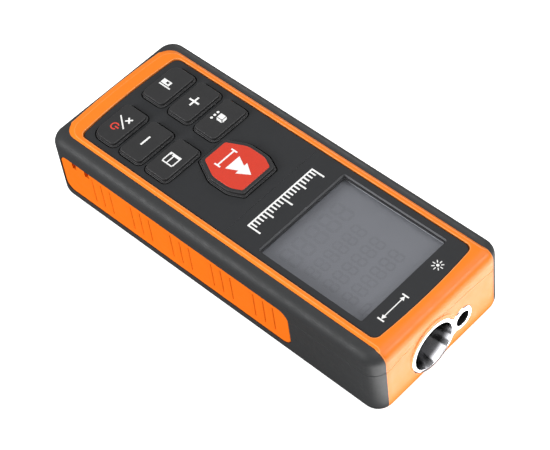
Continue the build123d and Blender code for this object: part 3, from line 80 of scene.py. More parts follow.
# Direction from the object, width, height, power in watts, and whether glossy surfaces mirror it.
SOFTBOXES = {
    "overhead_softbox": ((-0.2, 0.35, 0.9), 0.7, 0.7, 3.6, True),
    "side_softbox": ((0.80, -0.40, 0.34), 0.45, 0.35, 7.0, False),
    "shoulder_softbox": ((0.75, -0.49, 0.38), 0.25, 0.35, 2.3, True),
    "laser_side_softbox": ((-0.40, 0.78, 0.49), 0.35, 0.25, 2.2, True),
    "far_rim_softbox": ((-0.82, -0.47, 0.32), 0.2, 0.12, 0.8, True),
}

# Glowing sheet on the floor, in front of the laser end.
SHEET_PLACE = Vector((-12 * MM, cad_box[1][1] + 60 * MM, 0.6 * MM))
SHEET_WIDTH = 0.13
SHEET_LENGTH = 0.115
SHEET_RADIANCE = 3.2

# Inside radius of the laser's opening in the bezel.
LASER_BORE = 2.42 * MM

# Printed marks stand this far out of the surface they are printed on, and reach this far into it.
INK_PROUD = 0.03 * MM
INK_DEPTH = 0.01 * MM

# Colours, as shares of the light they return.
ORANGE = (0.89, 0.208, 0.012)
# Painted highlight along the edges and the rim's crease of the orange shell.
ORANGE_CREASE_HIGHLIGHT = (1.0, 0.42, 0.15)
GRIP_ORANGE = (0.90, 0.178, 0.010)
PANEL_GREY = (0.027, 0.028, 0.030)
BUMPER_GREY = (0.029, 0.030, 0.031)
KEY_GREY = (0.027, 0.027, 0.028)
KEY_RED = (0.62, 0.042, 0.020)
DISPLAY_GREY = (0.188, 0.195, 0.208)
# Painted light: the display's tone is painted this much lighter toward the laser end.
DISPLAY_PAINTED_LIGHT = 1.04  # how much the display's tone changes toward the laser end
GASKET_GREY = (0.50, 0.51, 0.53)
WINDOW_EDGE_GREY = (0.15, 0.153, 0.158)
INK_WHITE = (0.86, 0.86, 0.85)
INK_RED = (0.72, 0.055, 0.035)


# ---------------------------------------------------------------- shader building blocks


class Shader:
    """A material under construction: makes nodes, links them, and keeps the object's coordinates."""

    def __init__(self, name):
        self.material = bpy.data.materials.new(name)
        self.material.use_nodes = True
        self.tree = self.material.node_tree
        self.tree.nodes.clear()
        self.place = self.node("ShaderNodeTexCoord").outputs["Object"]

    def node(self, kind, inputs=None, **settings):
        """New node; each input takes a plain value or a link from another node."""
        made = self.tree.nodes.new(kind)
        for key, value in settings.items():
            setattr(made, key, value)
        for key, value in (inputs or {}).items():
            socket = made.inputs[key]
            if isinstance(value, bpy.types.NodeSocket):
                self.tree.links.new(value, socket)
            else:
                socket.default_value = value
        return made

    def noise(self, size, low=0.0, high=1.0, detail=3.0):
        """Smooth uneven value between low and high; size is the width of its blotches."""
        raw = self.node(
            "ShaderNodeTexNoise", {"Vector": self.place, "Scale": 1.0 / size, "Detail": detail}
        )
        return self.remap(raw.outputs["Fac"], 0.3, 0.7, low, high)

    def remap(self, value, old_low, old_high, low, high):
        inputs = {
            "Value": value,
            "From Min": old_low,
            "From Max": old_high,
            "To Min": low,
            "To Max": high,
        }
        return self.node("ShaderNodeMapRange", inputs).outputs["Result"]

    def math(self, operation, first, second=0.0):
        made = self.node("ShaderNodeMath", {0: first, 1: second}, operation=operation)
        return made.outputs[0]

    def axis(self, letter):
        return self.node("ShaderNodeSeparateXYZ", {"Vector": self.place}).outputs[letter]

    def mix(self, share, first, second):
        """The first colour where share is 0, and the second where it is 1."""
        made = self.node("ShaderNodeMix", data_type="RGBA")
        for socket, value in ((made.inputs[0], share), (made.inputs[6], first), (made.inputs[7], second)):
            if isinstance(value, bpy.types.NodeSocket):
                self.tree.links.new(value, socket)
            elif isinstance(value, float):
                socket.default_value = value
            else:
                socket.default_value = (*value, 1.0)
        return made.outputs[2]

    def grey(self, value):
        return self.node("ShaderNodeCombineColor", {"Red": value, "Green": value, "Blue": value}).outputs[0]

    def shade(self, colour, amount):
        """The colour made darker and lighter by a broad and a fine noise."""
        broad = self.math("MULTIPLY", self.noise(18 * MM), 0.6)
        fine = self.math("MULTIPLY", self.noise(1.6 * MM), 0.4)
        both = self.math("ADD", broad, fine)
        dark = tuple(channel * (1 - amount) for channel in colour)
        light = tuple(min(channel * (1 + amount), 1.0) for channel in colour)
        return self.mix(both, dark, light)

    def bump(self, size, height, normal=None, detail=4.0):
        """Grain: noise of this blotch size raised by this height."""
        inputs = {
            "Height": self.noise(size, detail=detail),
            "Strength": 1.0,
            "Distance": height,
        }
        if normal is not None:
            inputs["Normal"] = normal
        return self.node("ShaderNodeBump", inputs).outputs["Normal"]

    def soft_edge(self, radius, slight=0.995, sharp=0.86):
        """Normal rounded over every edge, and a mask that grows from slight edges to sharp ones."""
        rounded = self.node("ShaderNodeBevel", {"Radius": radius}, samples=6).outputs["Normal"]
        plain = self.node("ShaderNodeNewGeometry").outputs["Normal"]
        facing = self.node("ShaderNodeVectorMath", {0: rounded, 1: plain}, operation="DOT_PRODUCT")
        mask = self.remap(facing.outputs["Value"], slight, sharp, 0.0, 1.0)
        return rounded, mask

    def outer_fresnel(self):
        """Share of light mirrored by the outside of a clear piece; its inner faces mirror none."""
        fresnel = self.node("ShaderNodeFresnel", {"IOR": 1.45}).outputs["Fac"]
        inside = self.node("ShaderNodeNewGeometry").outputs["Backfacing"]
        return self.math("MULTIPLY", fresnel, self.math("SUBTRACT", 1.0, inside))

    def finish(self, surface):
        output = self.node("ShaderNodeOutputMaterial")
        self.tree.links.new(surface, output.inputs["Surface"])
        return self.material


def moulded(
    name,
    colour,
    variation=0.05,
    roughness=0.42,
    spread=0.06,
    grain=0.35 * MM,
    height=0.004 * MM,
    edge=0.22 * MM,
    edge_wear_and_highlight=1.25,
    highlight_and_wear_colour=None,
    specular=0.5,
    slight=0.995,
    sharp=0.86,
):
    """Moulded plastic or rubber: mottled colour, fine grain, and rounder edges painted paler, partly as edge
    wear and partly as a painted highlight.
    """
    shader = Shader(name)
    normal, mask = shader.soft_edge(edge, slight, sharp)
    body = shader.shade(colour, variation)
    # Paler edges: partly edge wear, partly a painted highlight along every edge.
    highlight_and_wear_colour = highlight_and_wear_colour or tuple(min(channel * edge_wear_and_highlight + 0.004, 1.0) for channel in colour)
    highlight_and_wear_share = shader.math("MULTIPLY", mask, shader.noise(2.5 * MM, 0.45, 0.95))
    inputs = {
        "Base Color": shader.mix(highlight_and_wear_share, body, highlight_and_wear_colour),
        "Roughness": shader.noise(3.0 * MM, roughness - spread, roughness + spread),
        "Specular IOR Level": specular,
        "Normal": shader.bump(grain, height, normal),
    }
    surface = shader.node("ShaderNodeBsdfPrincipled", inputs)
    return shader.finish(surface.outputs["BSDF"])


def metal(name, colour, roughness, spread=0.05, scratch=0.25 * MM, height=0.002 * MM, edge=0.15 * MM):
    """Bare or plated metal: fine scratches, uneven polish and edges painted brighter as a highlight."""
    shader = Shader(name)
    normal, mask = shader.soft_edge(edge)
    # Painted highlight: edges are painted brighter.
    bright = tuple(min(channel * 1.15, 1.0) for channel in colour)
    inputs = {
        "Base Color": shader.mix(mask, shader.shade(colour, 0.05), bright),
        "Metallic": 1.0,
        "Roughness": shader.noise(2.0 * MM, roughness - spread, roughness + spread),
        "Normal": shader.bump(scratch, height, normal),
    }
    surface = shader.node("ShaderNodeBsdfPrincipled", inputs)
    return shader.finish(surface.outputs["BSDF"])


# ---------------------------------------------------------------- special materials


def clear_cover(name, tint=(0.97, 0.97, 0.98), roughness=0.05, most=0.12):
    """Coated acrylic: light passes straight through, and the surface mirrors a little, unevenly.
    The side faces are frosted."""
    shader = Shader(name)
    smear = shader.noise(5 * MM, roughness, roughness + 0.05)
    mirror = shader.node("ShaderNodeBsdfGlossy", {"Color": (1, 1, 1, 1), "Roughness": smear})
    through = shader.node("ShaderNodeBsdfTransparent", {"Color": (*tint, 1.0)})
    share = shader.math("MINIMUM", shader.outer_fresnel(), most)
    both = shader.node(
        "ShaderNodeMixShader", {0: share, 1: through.outputs["BSDF"], 2: mirror.outputs["BSDF"]}
    )
    facing = shader.node("ShaderNodeNewGeometry").outputs["True Normal"]
    upward = shader.node("ShaderNodeSeparateXYZ", {"Vector": facing}).outputs["Z"]
    on_side = shader.math("LESS_THAN", shader.math("ABSOLUTE", upward), 0.5)
    frosted = {"Color": shader.shade(WINDOW_EDGE_GREY, 0.02)}
    side = shader.node("ShaderNodeBsdfDiffuse", frosted).outputs["BSDF"]
    surface = shader.node("ShaderNodeMixShader", {0: on_side, 1: both.outputs["Shader"], 2: side})
    return shader.finish(surface.outputs["Shader"])


def coated_glass(name, tint, reflection, roughness=0.02):
    """Lens glass with a thin coloured coating that shows in its reflections."""
    shader = Shader(name)
    coat = shader.mix(shader.noise(4 * MM), reflection, tuple(channel * 0.8 for channel in reflection))
    mirror = shader.node("ShaderNodeBsdfGlossy", {"Color": coat, "Roughness": roughness})
    through = shader.node("ShaderNodeBsdfTransparent", {"Color": (*tint, 1.0)})
    facing = shader.node("ShaderNodeLayerWeight", {"Blend": 0.35}).outputs["Fresnel"]
    share = shader.remap(facing, 0.0, 1.0, 0.10, 0.85)
    both = shader.node(
        "ShaderNodeMixShader", {0: share, 1: through.outputs["BSDF"], 2: mirror.outputs["BSDF"]}
    )
    return shader.finish(both.outputs["Shader"])


def liquid_crystal(name, colour, painted_light_factor):
    """Unlit display: satin grey whose tone changes a little toward the laser end as painted light, with a
    very fine grain.
    """
    shader = Shader(name)
    low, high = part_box("display_module")
    # Painted light: the tone at the laser end is the colour scaled by this factor.
    far = tuple(channel * painted_light_factor for channel in colour)
    along = shader.remap(shader.axis("Y"), low.y, high.y, 0.0, 1.0)
    inputs = {
        "Base Color": shader.mix(along, shader.shade(colour, 0.02), shader.shade(far, 0.02)),
        "Roughness": shader.noise(4 * MM, 0.34, 0.46),
        "Specular IOR Level": 0.25,
        "Normal": shader.bump(0.4 * MM, 0.0004 * MM),
    }
    surface = shader.node("ShaderNodeBsdfPrincipled", inputs)
    return shader.finish(surface.outputs["BSDF"])


def circuit_board(name):
    """Green solder mask over a grid of slightly raised copper tracks."""
    shader = Shader(name)
    tracks = shader.node(
        "ShaderNodeTexBrick",
        {"Vector": shader.place, "Scale": 1 / (4 * MM), "Mortar Size": 0.04, "Mortar Smooth": 0.2},
    )
    mask = shader.mix(tracks.outputs["Fac"], (0.010, 0.085, 0.035), (0.030, 0.16, 0.06))
    raised = shader.node(
        "ShaderNodeBump", {"Height": tracks.outputs["Fac"], "Strength": 1.0, "Distance": 0.02 * MM}
    )
    inputs = {
        "Base Color": shader.mix(shader.noise(6 * MM, 0.0, 0.35), mask, (0.006, 0.05, 0.02)),
        "Roughness": shader.noise(3 * MM, 0.28, 0.4),
        "Normal": raised.outputs["Normal"],
    }
    surface = shader.node("ShaderNodeBsdfPrincipled", inputs)
    return shader.finish(surface.outputs["BSDF"])


def bezel_chrome(name):
    """Plated ring: bright in front, painted darker down the lens funnel as painted shade, and blackened round
    the laser.
    """
    shader = Shader(name)
    laser_low, laser_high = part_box("laser_window")
    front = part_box("lens_bezel")[1].y
    laser = (laser_low + laser_high) / 2
    across = shader.math("SUBTRACT", shader.axis("X"), laser.x)
    upward = shader.math("SUBTRACT", shader.axis("Z"), laser.z)
    squares = shader.math("ADD", shader.math("POWER", across, 2.0), shader.math("POWER", upward, 2.0))
    in_bore = shader.math("LESS_THAN", shader.math("SQRT", squares), LASER_BORE)
    # Painted shade: the chrome is painted darker down the lens funnel.
    painted_funnel_shade = shader.remap(shader.axis("Y"), front - 0.4 * MM, front - 2.4 * MM, 0.0, 0.86)
    dark = shader.math("MAXIMUM", in_bore, painted_funnel_shade)
    normal, mask = shader.soft_edge(0.15 * MM)
    inputs = {
        "Base Color": shader.mix(dark, shader.shade((0.88, 0.88, 0.90), 0.04), (0.03, 0.03, 0.032)),
        "Metallic": 1.0,
        "Roughness": shader.mix(in_bore, shader.grey(shader.noise(2 * MM, 0.08, 0.18)), (0.6, 0.6, 0.6)),
        "Normal": shader.bump(0.25 * MM, 0.002 * MM, normal),
    }
    surface = shader.node("ShaderNodeBsdfPrincipled", inputs)
    return shader.finish(surface.outputs["BSDF"])


def foam(name):
    """Open-cell foam: dark, rough, and pitted, with painted shade at the bottom of each pit."""
    shader = Shader(name)
    cells = shader.node("ShaderNodeTexVoronoi", {"Vector": shader.place, "Scale": 1 / (0.6 * MM)})
    pits = shader.node(
        "ShaderNodeBump", {"Height": cells.outputs["Distance"], "Strength": 1.0, "Distance": 0.05 * MM}
    )
    # Painted shade: darker toward the bottom of each pit.
    inputs = {
        "Base Color": shader.mix(cells.outputs["Distance"], (0.16, 0.16, 0.165), (0.30, 0.30, 0.31)),
        "Roughness": 0.95,
        "Specular IOR Level": 0.1,
        "Normal": pits.outputs["Normal"],
    }
    surface = shader.node("ShaderNodeBsdfPrincipled", inputs)
    return shader.finish(surface.outputs["BSDF"])


def cell_wrap(name):
    """Battery: printed sleeve in two colours with a bare steel end at each side."""
    shader = Shader(name)
    low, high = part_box("left_cell")
    length = high.y - low.y
    along = shader.remap(shader.axis("Y"), low.y, high.y, 0.0, length / MM)
    foot_steel = shader.math("LESS_THAN", along, 1.6)
    head_steel = shader.math("GREATER_THAN", along, length / MM - 1.8)
    steel = shader.math("MAXIMUM", foot_steel, head_steel)
    band = shader.math("GREATER_THAN", along, length / MM * 0.68)
    sleeve = shader.mix(band, (0.022, 0.024, 0.03), (0.55, 0.30, 0.05))
    inputs = {
        "Base Color": shader.mix(steel, sleeve, (0.62, 0.62, 0.60)),
        "Metallic": steel,
        "Roughness": shader.noise(3 * MM, 0.22, 0.36),
        "Normal": shader.bump(0.5 * MM, 0.003 * MM),
    }
    surface = shader.node("ShaderNodeBsdfPrincipled", inputs)
    return shader.finish(surface.outputs["BSDF"])


def floor_paper(name):
    """White sweep that stays white round the object, throws little light back at its sides, and is
    clear from below, so that the back of the object shows."""
    shader = Shader(name)
    path = shader.node("ShaderNodeLightPath").outputs
    seen = path["Is Camera Ray"]
    touching = shader.math("LESS_THAN", path["Ray Length"], TOUCH_LENGTH)
    glow = shader.math("MAXIMUM", shader.math("MULTIPLY", seen, FLOOR_GLOW), touching)
    paper = shader.mix(shader.noise(60 * MM), (0.86, 0.86, 0.86), (0.9, 0.9, 0.9))
    dimmed = (FLOOR_BOUNCE, FLOOR_BOUNCE, FLOOR_BOUNCE)
    tone = shader.mix(seen, dimmed, paper)
    inputs = {
        "Base Color": tone,
        "Roughness": 0.9,
        "Specular IOR Level": 0.1,
        "Emission Color": (1, 1, 1, 1),
        "Emission Strength": glow,
        "Normal": shader.bump(1.5 * MM, 0.01 * MM),
    }
    above = shader.node("ShaderNodeBsdfPrincipled", inputs).outputs["BSDF"]
    below = shader.node("ShaderNodeBsdfTransparent").outputs["BSDF"]
    from_below = shader.node("ShaderNodeNewGeometry").outputs["Backfacing"]
    surface = shader.node("ShaderNodeMixShader", {0: from_below, 1: above, 2: below})
    return shader.finish(surface.outputs["Shader"])


LOOKS = {
    # Orange shell: its rim crease and edges are painted pale as a highlight.
    "orange_plastic": moulded(
        "orange_plastic_look",
        ORANGE,
        roughness=0.36,
        variation=0.03,
        edge=0.42 * MM,
        highlight_and_wear_colour=ORANGE_CREASE_HIGHLIGHT,
        specular=0.35,
        slight=0.9995,
        sharp=0.988,
    ),
    "soft_bumper": moulded(
        "soft_bumper_look", BUMPER_GREY, roughness=0.5, specular=0.5, grain=0.6 * MM, height=0.02 * MM
    ),
    "panel_plastic": moulded("panel_plastic_look", PANEL_GREY, roughness=0.5, specular=0.25, edge_wear_and_highlight=1.6),
    # Keys: a strong painted highlight along the cap edges.
    "key_plastic": moulded(
        "key_plastic_look",
        KEY_GREY,
        roughness=0.42,
        specular=0.4,
        edge=0.16 * MM,
        edge_wear_and_highlight=5.5,
        slight=0.9995,
        sharp=0.95,
    ),
    "red_plastic": moulded("red_plastic_look", KEY_RED, roughness=0.4, variation=0.03, edge_wear_and_highlight=1.1),
    "window_glass": clear_cover("window_glass_look"),
    "display_glass": liquid_crystal("display_glass_look", DISPLAY_GREY, DISPLAY_PAINTED_LIGHT),
    "light_guide": moulded("light_guide_look", (0.80, 0.82, 0.80), roughness=0.25, grain=0.8 * MM),
    "foam": foam("foam_look"),
    "circuit_board": circuit_board("circuit_board_look"),
    "component_plastic": moulded("component_plastic_look", (0.025, 0.025, 0.027), roughness=0.5),
    "bright_chrome": bezel_chrome("bright_chrome_look"),
    "cast_chassis": metal("cast_chassis_look", (0.10, 0.10, 0.11), 0.5, scratch=0.6 * MM, height=0.02 * MM),
    "optical_glass": coated_glass("optical_glass_look", (0.90, 0.93, 0.96), (0.75, 0.82, 1.0)),
    "filter_glass": coated_glass("filter_glass_look", (0.55, 0.06, 0.04), (1.0, 0.35, 0.25)),
    "brass_tube": metal("brass_tube_look", (0.72, 0.50, 0.18), 0.24),
    "steel": metal("steel_look", (0.56, 0.56, 0.57), 0.28),
    "cable_skin": moulded("cable_skin_look", (0.45, 0.03, 0.02), roughness=0.45, grain=0.4 * MM),
    "cell_wrap": cell_wrap("cell_wrap_look"),
    "door_plastic": moulded("door_plastic_look", (0.045, 0.046, 0.048), roughness=0.55, specular=0.35),
    "label_film": moulded("label_film_look", (0.62, 0.63, 0.64), roughness=0.38, variation=0.03, edge_wear_and_highlight=1.1),
}

NODE_LOOKS = {
    "right_grip": moulded(
        "grip_look", GRIP_ORANGE, roughness=0.6, variation=0.03, specular=0.08, grain=0.4 * MM, edge_wear_and_highlight=1.05
    ),
}
NODE_LOOKS["left_grip"] = NODE_LOOKS["right_grip"]
NODE_LOOKS["display_gasket"] = moulded("gasket_look", GASKET_GREY, roughness=0.6, variation=0.03)

for name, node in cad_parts.items():
    for place in node.material_slots:
        slot_name = place.material.name.split(".")[0]
        place.material = NODE_LOOKS.get(name) or LOOKS[slot_name]


# ---------------------------------------------------------------- flat shapes for printed marks

# A shape is a pair: its outline, and the outline of an opening in it or None.


def solid(outline):
    """Shape without an opening."""
    return (outline, None)


def rectangle(x_low, y_low, x_high, y_high):
    return [(x_low, y_low), (x_high, y_low), (x_high, y_high), (x_low, y_high)]


def bar(start, end, width):
    """Straight stroke between two points."""
    along = (Vector(end) - Vector(start)).normalized()
    side = Vector((-along.y, along.x)) * width / 2
    corners = (Vector(start) - side, Vector(end) - side, Vector(end) + side, Vector(start) + side)
    return [tuple(corner) for corner in corners]


def arc_points(centre, radius, start, end, steps):
    """Points along a circle between two angles in degrees."""
    turns = [math.radians(start + (end - start) * step / steps) for step in range(steps + 1)]
    return [(centre[0] + radius * math.cos(turn), centre[1] + radius * math.sin(turn)) for turn in turns]


def disc(centre, radius, steps=24):
    return arc_points(centre, radius, 0, 360, steps)[:-1]


def arc_stroke(centre, radius, width, start, end, steps=24):
    """Stroke along part of a circle."""
    outer = arc_points(centre, radius + width / 2, start, end, steps)
    inner = arc_points(centre, radius - width / 2, start, end, steps)
    return outer + inner[::-1]


def hollow_rectangle(x_low, y_low, x_high, y_high, line):
    """Four-sided frame whose line width is inside the given corners."""
    outer = rectangle(x_low, y_low, x_high, y_high)
    inner = rectangle(x_low + line, y_low + line, x_high - line, y_high - line)
    return (outer, inner)


def add_walls(mesh, bottom, top):
    """Faces between two rings of corners."""
    count = len(top)
    for index in range(count):
        following = (index + 1) % count
        mesh.faces.new((bottom[index], bottom[following], top[following], top[index]))


def add_slab(mesh, shape, low, high):
    """Prism over one flat shape; a shape with an inner outline gets an opening."""
    outer, inner = shape
    rings = []
    for outline in (outer, inner):
        if outline is not None:
            bottom = [mesh.verts.new((x * MM, y * MM, low)) for x, y in outline]
            top = [mesh.verts.new((x * MM, y * MM, high)) for x, y in outline]
            rings.append((bottom, top))
    add_walls(mesh, *rings[0])
    if inner is None:
        mesh.faces.new(rings[0][1])
        mesh.faces.new(rings[0][0][::-1])
        return
    (outer_bottom, outer_top), (inner_bottom, inner_top) = rings
    add_walls(mesh, inner_top, inner_bottom)
    add_walls(mesh, outer_top, inner_top)
    add_walls(mesh, inner_bottom, outer_bottom)


def printed(name, shapes, centre, surface, body, look, facing=1):
    """Thin raised print on a level surface; facing is 1 on the face and -1 on the back."""
    mesh = bmesh.new()
    for shape in shapes:
        add_slab(mesh, shape, -INK_DEPTH, INK_PROUD)
    bmesh.ops.recalc_face_normals(mesh, faces=mesh.faces)
    data = bpy.data.meshes.new(name)
    mesh.to_mesh(data)
    mesh.free()
    data.materials.append(look)
    piece = bpy.data.objects.new(name, data)
    bpy.context.scene.collection.objects.link(piece)
    flip = Matrix.Identity(4) if facing > 0 else Matrix.Rotation(math.pi, 4, "Y")
    piece.matrix_world = Matrix.Translation((centre[0], centre[1], surface)) @ flip
    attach(piece, body)
    return piece


white_ink = moulded("white_ink_look", INK_WHITE, variation=0.04, roughness=0.5, edge=0.05 * MM, edge_wear_and_highlight=1.0)
red_ink = moulded("red_ink_look", INK_RED, variation=0.04, roughness=0.5, edge=0.05 * MM, edge_wear_and_highlight=1.05)


# ---------------------------------------------------------------- marks on the keys

# Every mark is drawn in millimetres from its own middle, with y toward the laser end.


def reference_mark():
    """Which end the distance is measured from: the instrument beside a datum bar."""
    x_low, y_low, x_high, y_high = -1.1, -2.7, 0.55, 0.5
    left, right = -0.75, 0.05
    window_low, window_high = -1.15, -0.15
    return [
        solid(rectangle(x_low, y_low, x_high, window_low)),
        solid(rectangle(x_low, window_low, left, window_high)),
        solid(rectangle(right, window_low, x_high, window_high)),
        solid(rectangle(x_low, window_high, x_high, y_high)),
        solid(rectangle(0.85, y_low, 1.3, 1.6)),
    ]


def plus_mark(reach=1.85, width=0.6):
    half = width / 2
    return [
        solid(rectangle(-reach, -half, reach, half)),
        solid(rectangle(-half, half, half, reach)),
        solid(rectangle(-half, -reach, half, -half)),
    ]


def minus_mark(reach=1.85, width=0.6, shift=-0.3):
    return [solid(rectangle(-reach, shift - width / 2, reach, shift + width / 2))]


def menu_mark():
    """A box seen from one corner, over three dots."""
    front = rectangle(-1.6, -1.2, 0.05, 0.65)
    top = [(-1.6, 0.9), (0.1, 0.9), (0.75, 1.6), (-0.9, 1.6)]
    side = [(0.3, -1.2), (1.0, -0.5), (1.0, 1.5), (0.3, 0.65)]
    dots = [solid(disc((spot * 1.3, -2.2), 0.42)) for spot in (-1, 0, 1)]
    return [solid(front), solid(top), solid(side)] + dots


def clear_mark(centre=(-2.3, 1.1), reach=0.8, width=0.5):
    """A cross with a slash beside it."""
    x, y = centre
    half = width / 2
    falling = bar((x - reach, y + reach), (x + reach, y - reach), width)
    upper = bar((x + half * 0.7, y + half * 0.7), (x + reach, y + reach), width)
    lower = bar((x - reach, y - reach), (x - half * 0.7, y - half * 0.7), width)
    slash = bar((-2.3, -2.3), (0.9, 2.1), 0.42)
    return [solid(falling), solid(upper), solid(lower), solid(slash)]


def power_mark(centre=(1.6, -0.7), radius=1.1, width=0.42):
    """An open ring with a stem in its gap."""
    x, y = centre
    ring = arc_stroke(centre, radius, width, 130, 410)
    stem = rectangle(x - width / 2, y + 0.1, x + width / 2, y + radius + 0.45)
    return [solid(ring), solid(stem)]


def memory_mark(line=0.4):
    """A ring-bound book: a thick spine with one notch, and two leaves."""
    left, right, low, high = -1.7, 2.25, -2.1, 2.1
    spine = left + 0.85
    middle = -0.3
    return [
        solid(rectangle(left, low, spine, low + 0.7)),
        solid(rectangle(left, low + 1.1, spine, high)),
        solid(rectangle(left, low + 0.7, left + 0.3, low + 1.1)),
        solid(rectangle(spine, low, right - line, low + line)),
        solid(rectangle(spine, high - line, right - line, high)),
        solid(rectangle(spine, middle - line / 2, right - line, middle + line / 2)),
        solid(rectangle(right - line, low + line / 2, right, high - line / 2)),
    ]


KEY_MARKS = {
    "reference_key": reference_mark(),
    "plus_key": plus_mark(),
    "menu_key": menu_mark(),
    "clear_key": clear_mark(),
    "minus_key": minus_mark(),
    "memory_key": memory_mark(),
}


def node_middle(node):
    """Middle of a CAD piece, and the height of its top."""
    low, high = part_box(node)
    return (low + high) / 2, high.z


for key, shapes in KEY_MARKS.items():
    middle, top = node_middle(key)
    printed(key + "_mark", shapes, middle, top, key + "_cap", white_ink)

middle, top = node_middle("clear_key")
printed("clear_key_power_mark", power_mark(), middle, top, "clear_key_cap", red_ink)


def measure_mark():
    """Two arrowheads toward the laser, run together, over a dimension line with ticks at its ends."""
    right_side = [(2.8, -1.2), (1.1, 2.2), (2.35, 2.2), (0.0, 6.0)]
    left_side = [(-x, y) for x, y in reversed(right_side[:-1])]
    line_y = -3.7
    half = 3.6
    tick = 1.1
    line = 0.5
    return [
        solid(right_side + left_side),
        solid(rectangle(-half + line, line_y - line / 2, half - line, line_y + line / 2)),
        solid(rectangle(-half, line_y - tick, -half + line, line_y + tick)),
        solid(rectangle(half - line, line_y - tick, half, line_y + tick)),
    ]


middle, top = node_middle("measure_key_label")
printed("measure_key_mark", measure_mark(), middle, top, "measure_key_cap", white_ink)


# ---------------------------------------------------------------- marks on the display panel


def ruler_mark(half_length, ticks, line=0.5):
    """Graduated scale: a base line with a longer tick at every fifth step and the longest at every tenth."""
    short, middling, long = 2.0, 3.2, 4.2
    shapes = [solid(rectangle(-half_length, 0, half_length, line))]
    step = 2 * half_length / ticks
    for index in range(ticks + 1):
        x = -half_length + index * step
        reach = long if index % 10 == 0 else middling if index % 5 == 0 else short
        inside = min(max(x, -half_length + line / 2), half_length - line / 2)
        shapes.append(solid(rectangle(inside - line / 2, line, inside + line / 2, line + reach)))
    return shapes


def burst_mark(rays=8, hub=0.45, inner=0.85, outer=1.7, line=0.28):
    """Laser spot: a dot with rays."""
    shapes = [solid(disc((0, 0), hub))]
    for index in range(rays):
        turn = 2 * math.pi * index / rays
        towards = Vector((math.cos(turn), math.sin(turn)))
        shapes.append(solid(bar(towards * inner, towards * outer, line)))
    return shapes


def span_mark(half_length=4.6, head=1.3, spread=0.7, line=0.3, stop=0.45, reach=1.1):
    """Distance arrow: a line with an arrowhead and a stop at each end."""
    shapes = [solid(rectangle(-half_length + head, -line / 2, half_length - head, line / 2))]
    for side in (-1, 1):
        tip = side * half_length
        base = side * (half_length - head)
        end = side * (half_length + stop)
        shapes.append(solid([(tip, 0), (base, spread), (base, -spread)]))
        shapes.append(solid(rectangle(min(end, tip), -reach, max(end, tip), reach)))
    return shapes


panel_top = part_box("display_panel")[1].z
window_head_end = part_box("display_window")[1].y
ruler_y = 5.6 * MM
small_mark_y = window_head_end + 3.4 * MM
panel_marks = {
    "ruler_mark": (ruler_mark(half_length=12.8, ticks=20), (0, ruler_y)),
    "laser_spot_mark": (burst_mark(), (-9.0 * MM, small_mark_y)),
    "distance_mark": (span_mark(), (8.5 * MM, small_mark_y)),
}
for name, (shapes, spot) in panel_marks.items():
    printed(name, shapes, spot, panel_top, "body", white_ink)


# ---------------------------------------------------------------- marks on the rating label


def label_marks(half_width, half_length, margin=1.4, line=0.3, rows=5, indent=2, long_indent=7):
    """Border, and ruled lines of unequal length; the upper ones leave room for the warning sign."""
    right, top = half_width - margin, half_length - margin
    shapes = [hollow_rectangle(-right, -top, right, top, line)]
    step = 2 * top / (rows + 1)
    for row in range(1, rows + 1):
        y = top - row * step
        end = right - indent if row % 2 else right - long_indent
        start = -right + indent if row > 2 else 0
        shapes.append(solid(rectangle(start, y - line / 2, end, y + line / 2)))
    return shapes


def warning_mark(reach=3.4, line=0.55):
    """Triangle, point up, with an exclamation mark."""
    outside = arc_points((0, 0), reach, 90, 450, 3)[:-1]
    inside = arc_points((0, 0), reach - 2 * line, 90, 450, 3)[:-1]
    stroke = rectangle(-line / 2, -0.35, line / 2, 1.15)
    dot = disc((0, -0.95), line / 2, 12)
    return [(outside, inside), solid(stroke), solid(dot)]


label_low, label_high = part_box("rating_label")
label_middle = (label_low + label_high) / 2
label_half = (label_high - label_low) / 2 / MM
label_ink = moulded("label_ink_look", (0.02, 0.02, 0.022), roughness=0.5, edge=0.05 * MM, edge_wear_and_highlight=1.0)
triangle_place = label_middle + Vector((label_half.x * 0.5, label_half.y * 0.45, 0)) * MM
label_prints = {
    "label_print": (label_marks(label_half.x, label_half.y), label_middle),
    "label_warning_mark": (warning_mark(), triangle_place),
}
for name, (shapes, spot) in label_prints.items():
    printed(name, shapes, spot, label_low.z, "body", label_ink, facing=-1)


# ---------------------------------------------------------------- unlit segments in the display


def pointed_stroke(start, end, width):
    """One display segment: a stroke with a point at each end."""
    start, end = Vector(start), Vector(end)
    along = (end - start).normalized() * width / 2
    side = Vector((-along.y, along.x))
    corners = (start, start + along - side, end - along - side, end, end - along + side, start + along + side)
    return solid([tuple(corner) for corner in corners])


def seven_segments(x, y, height):
    """The seven strokes of a digit whose lower left corner is at x, y."""
    width = height * 0.5
    line = height * 0.13
    gap = line * 0.2
    strokes = []
    for row in range(3):
        level = y + row * height / 2
        strokes.append(pointed_stroke((x + gap, level), (x + width - gap, level), line))
    for column in range(2):
        for row in range(2):
            foot = y + row * height / 2
            across = x + column * width
            strokes.append(pointed_stroke((across, foot + gap), (across, foot + height / 2 - gap), line))
    return strokes


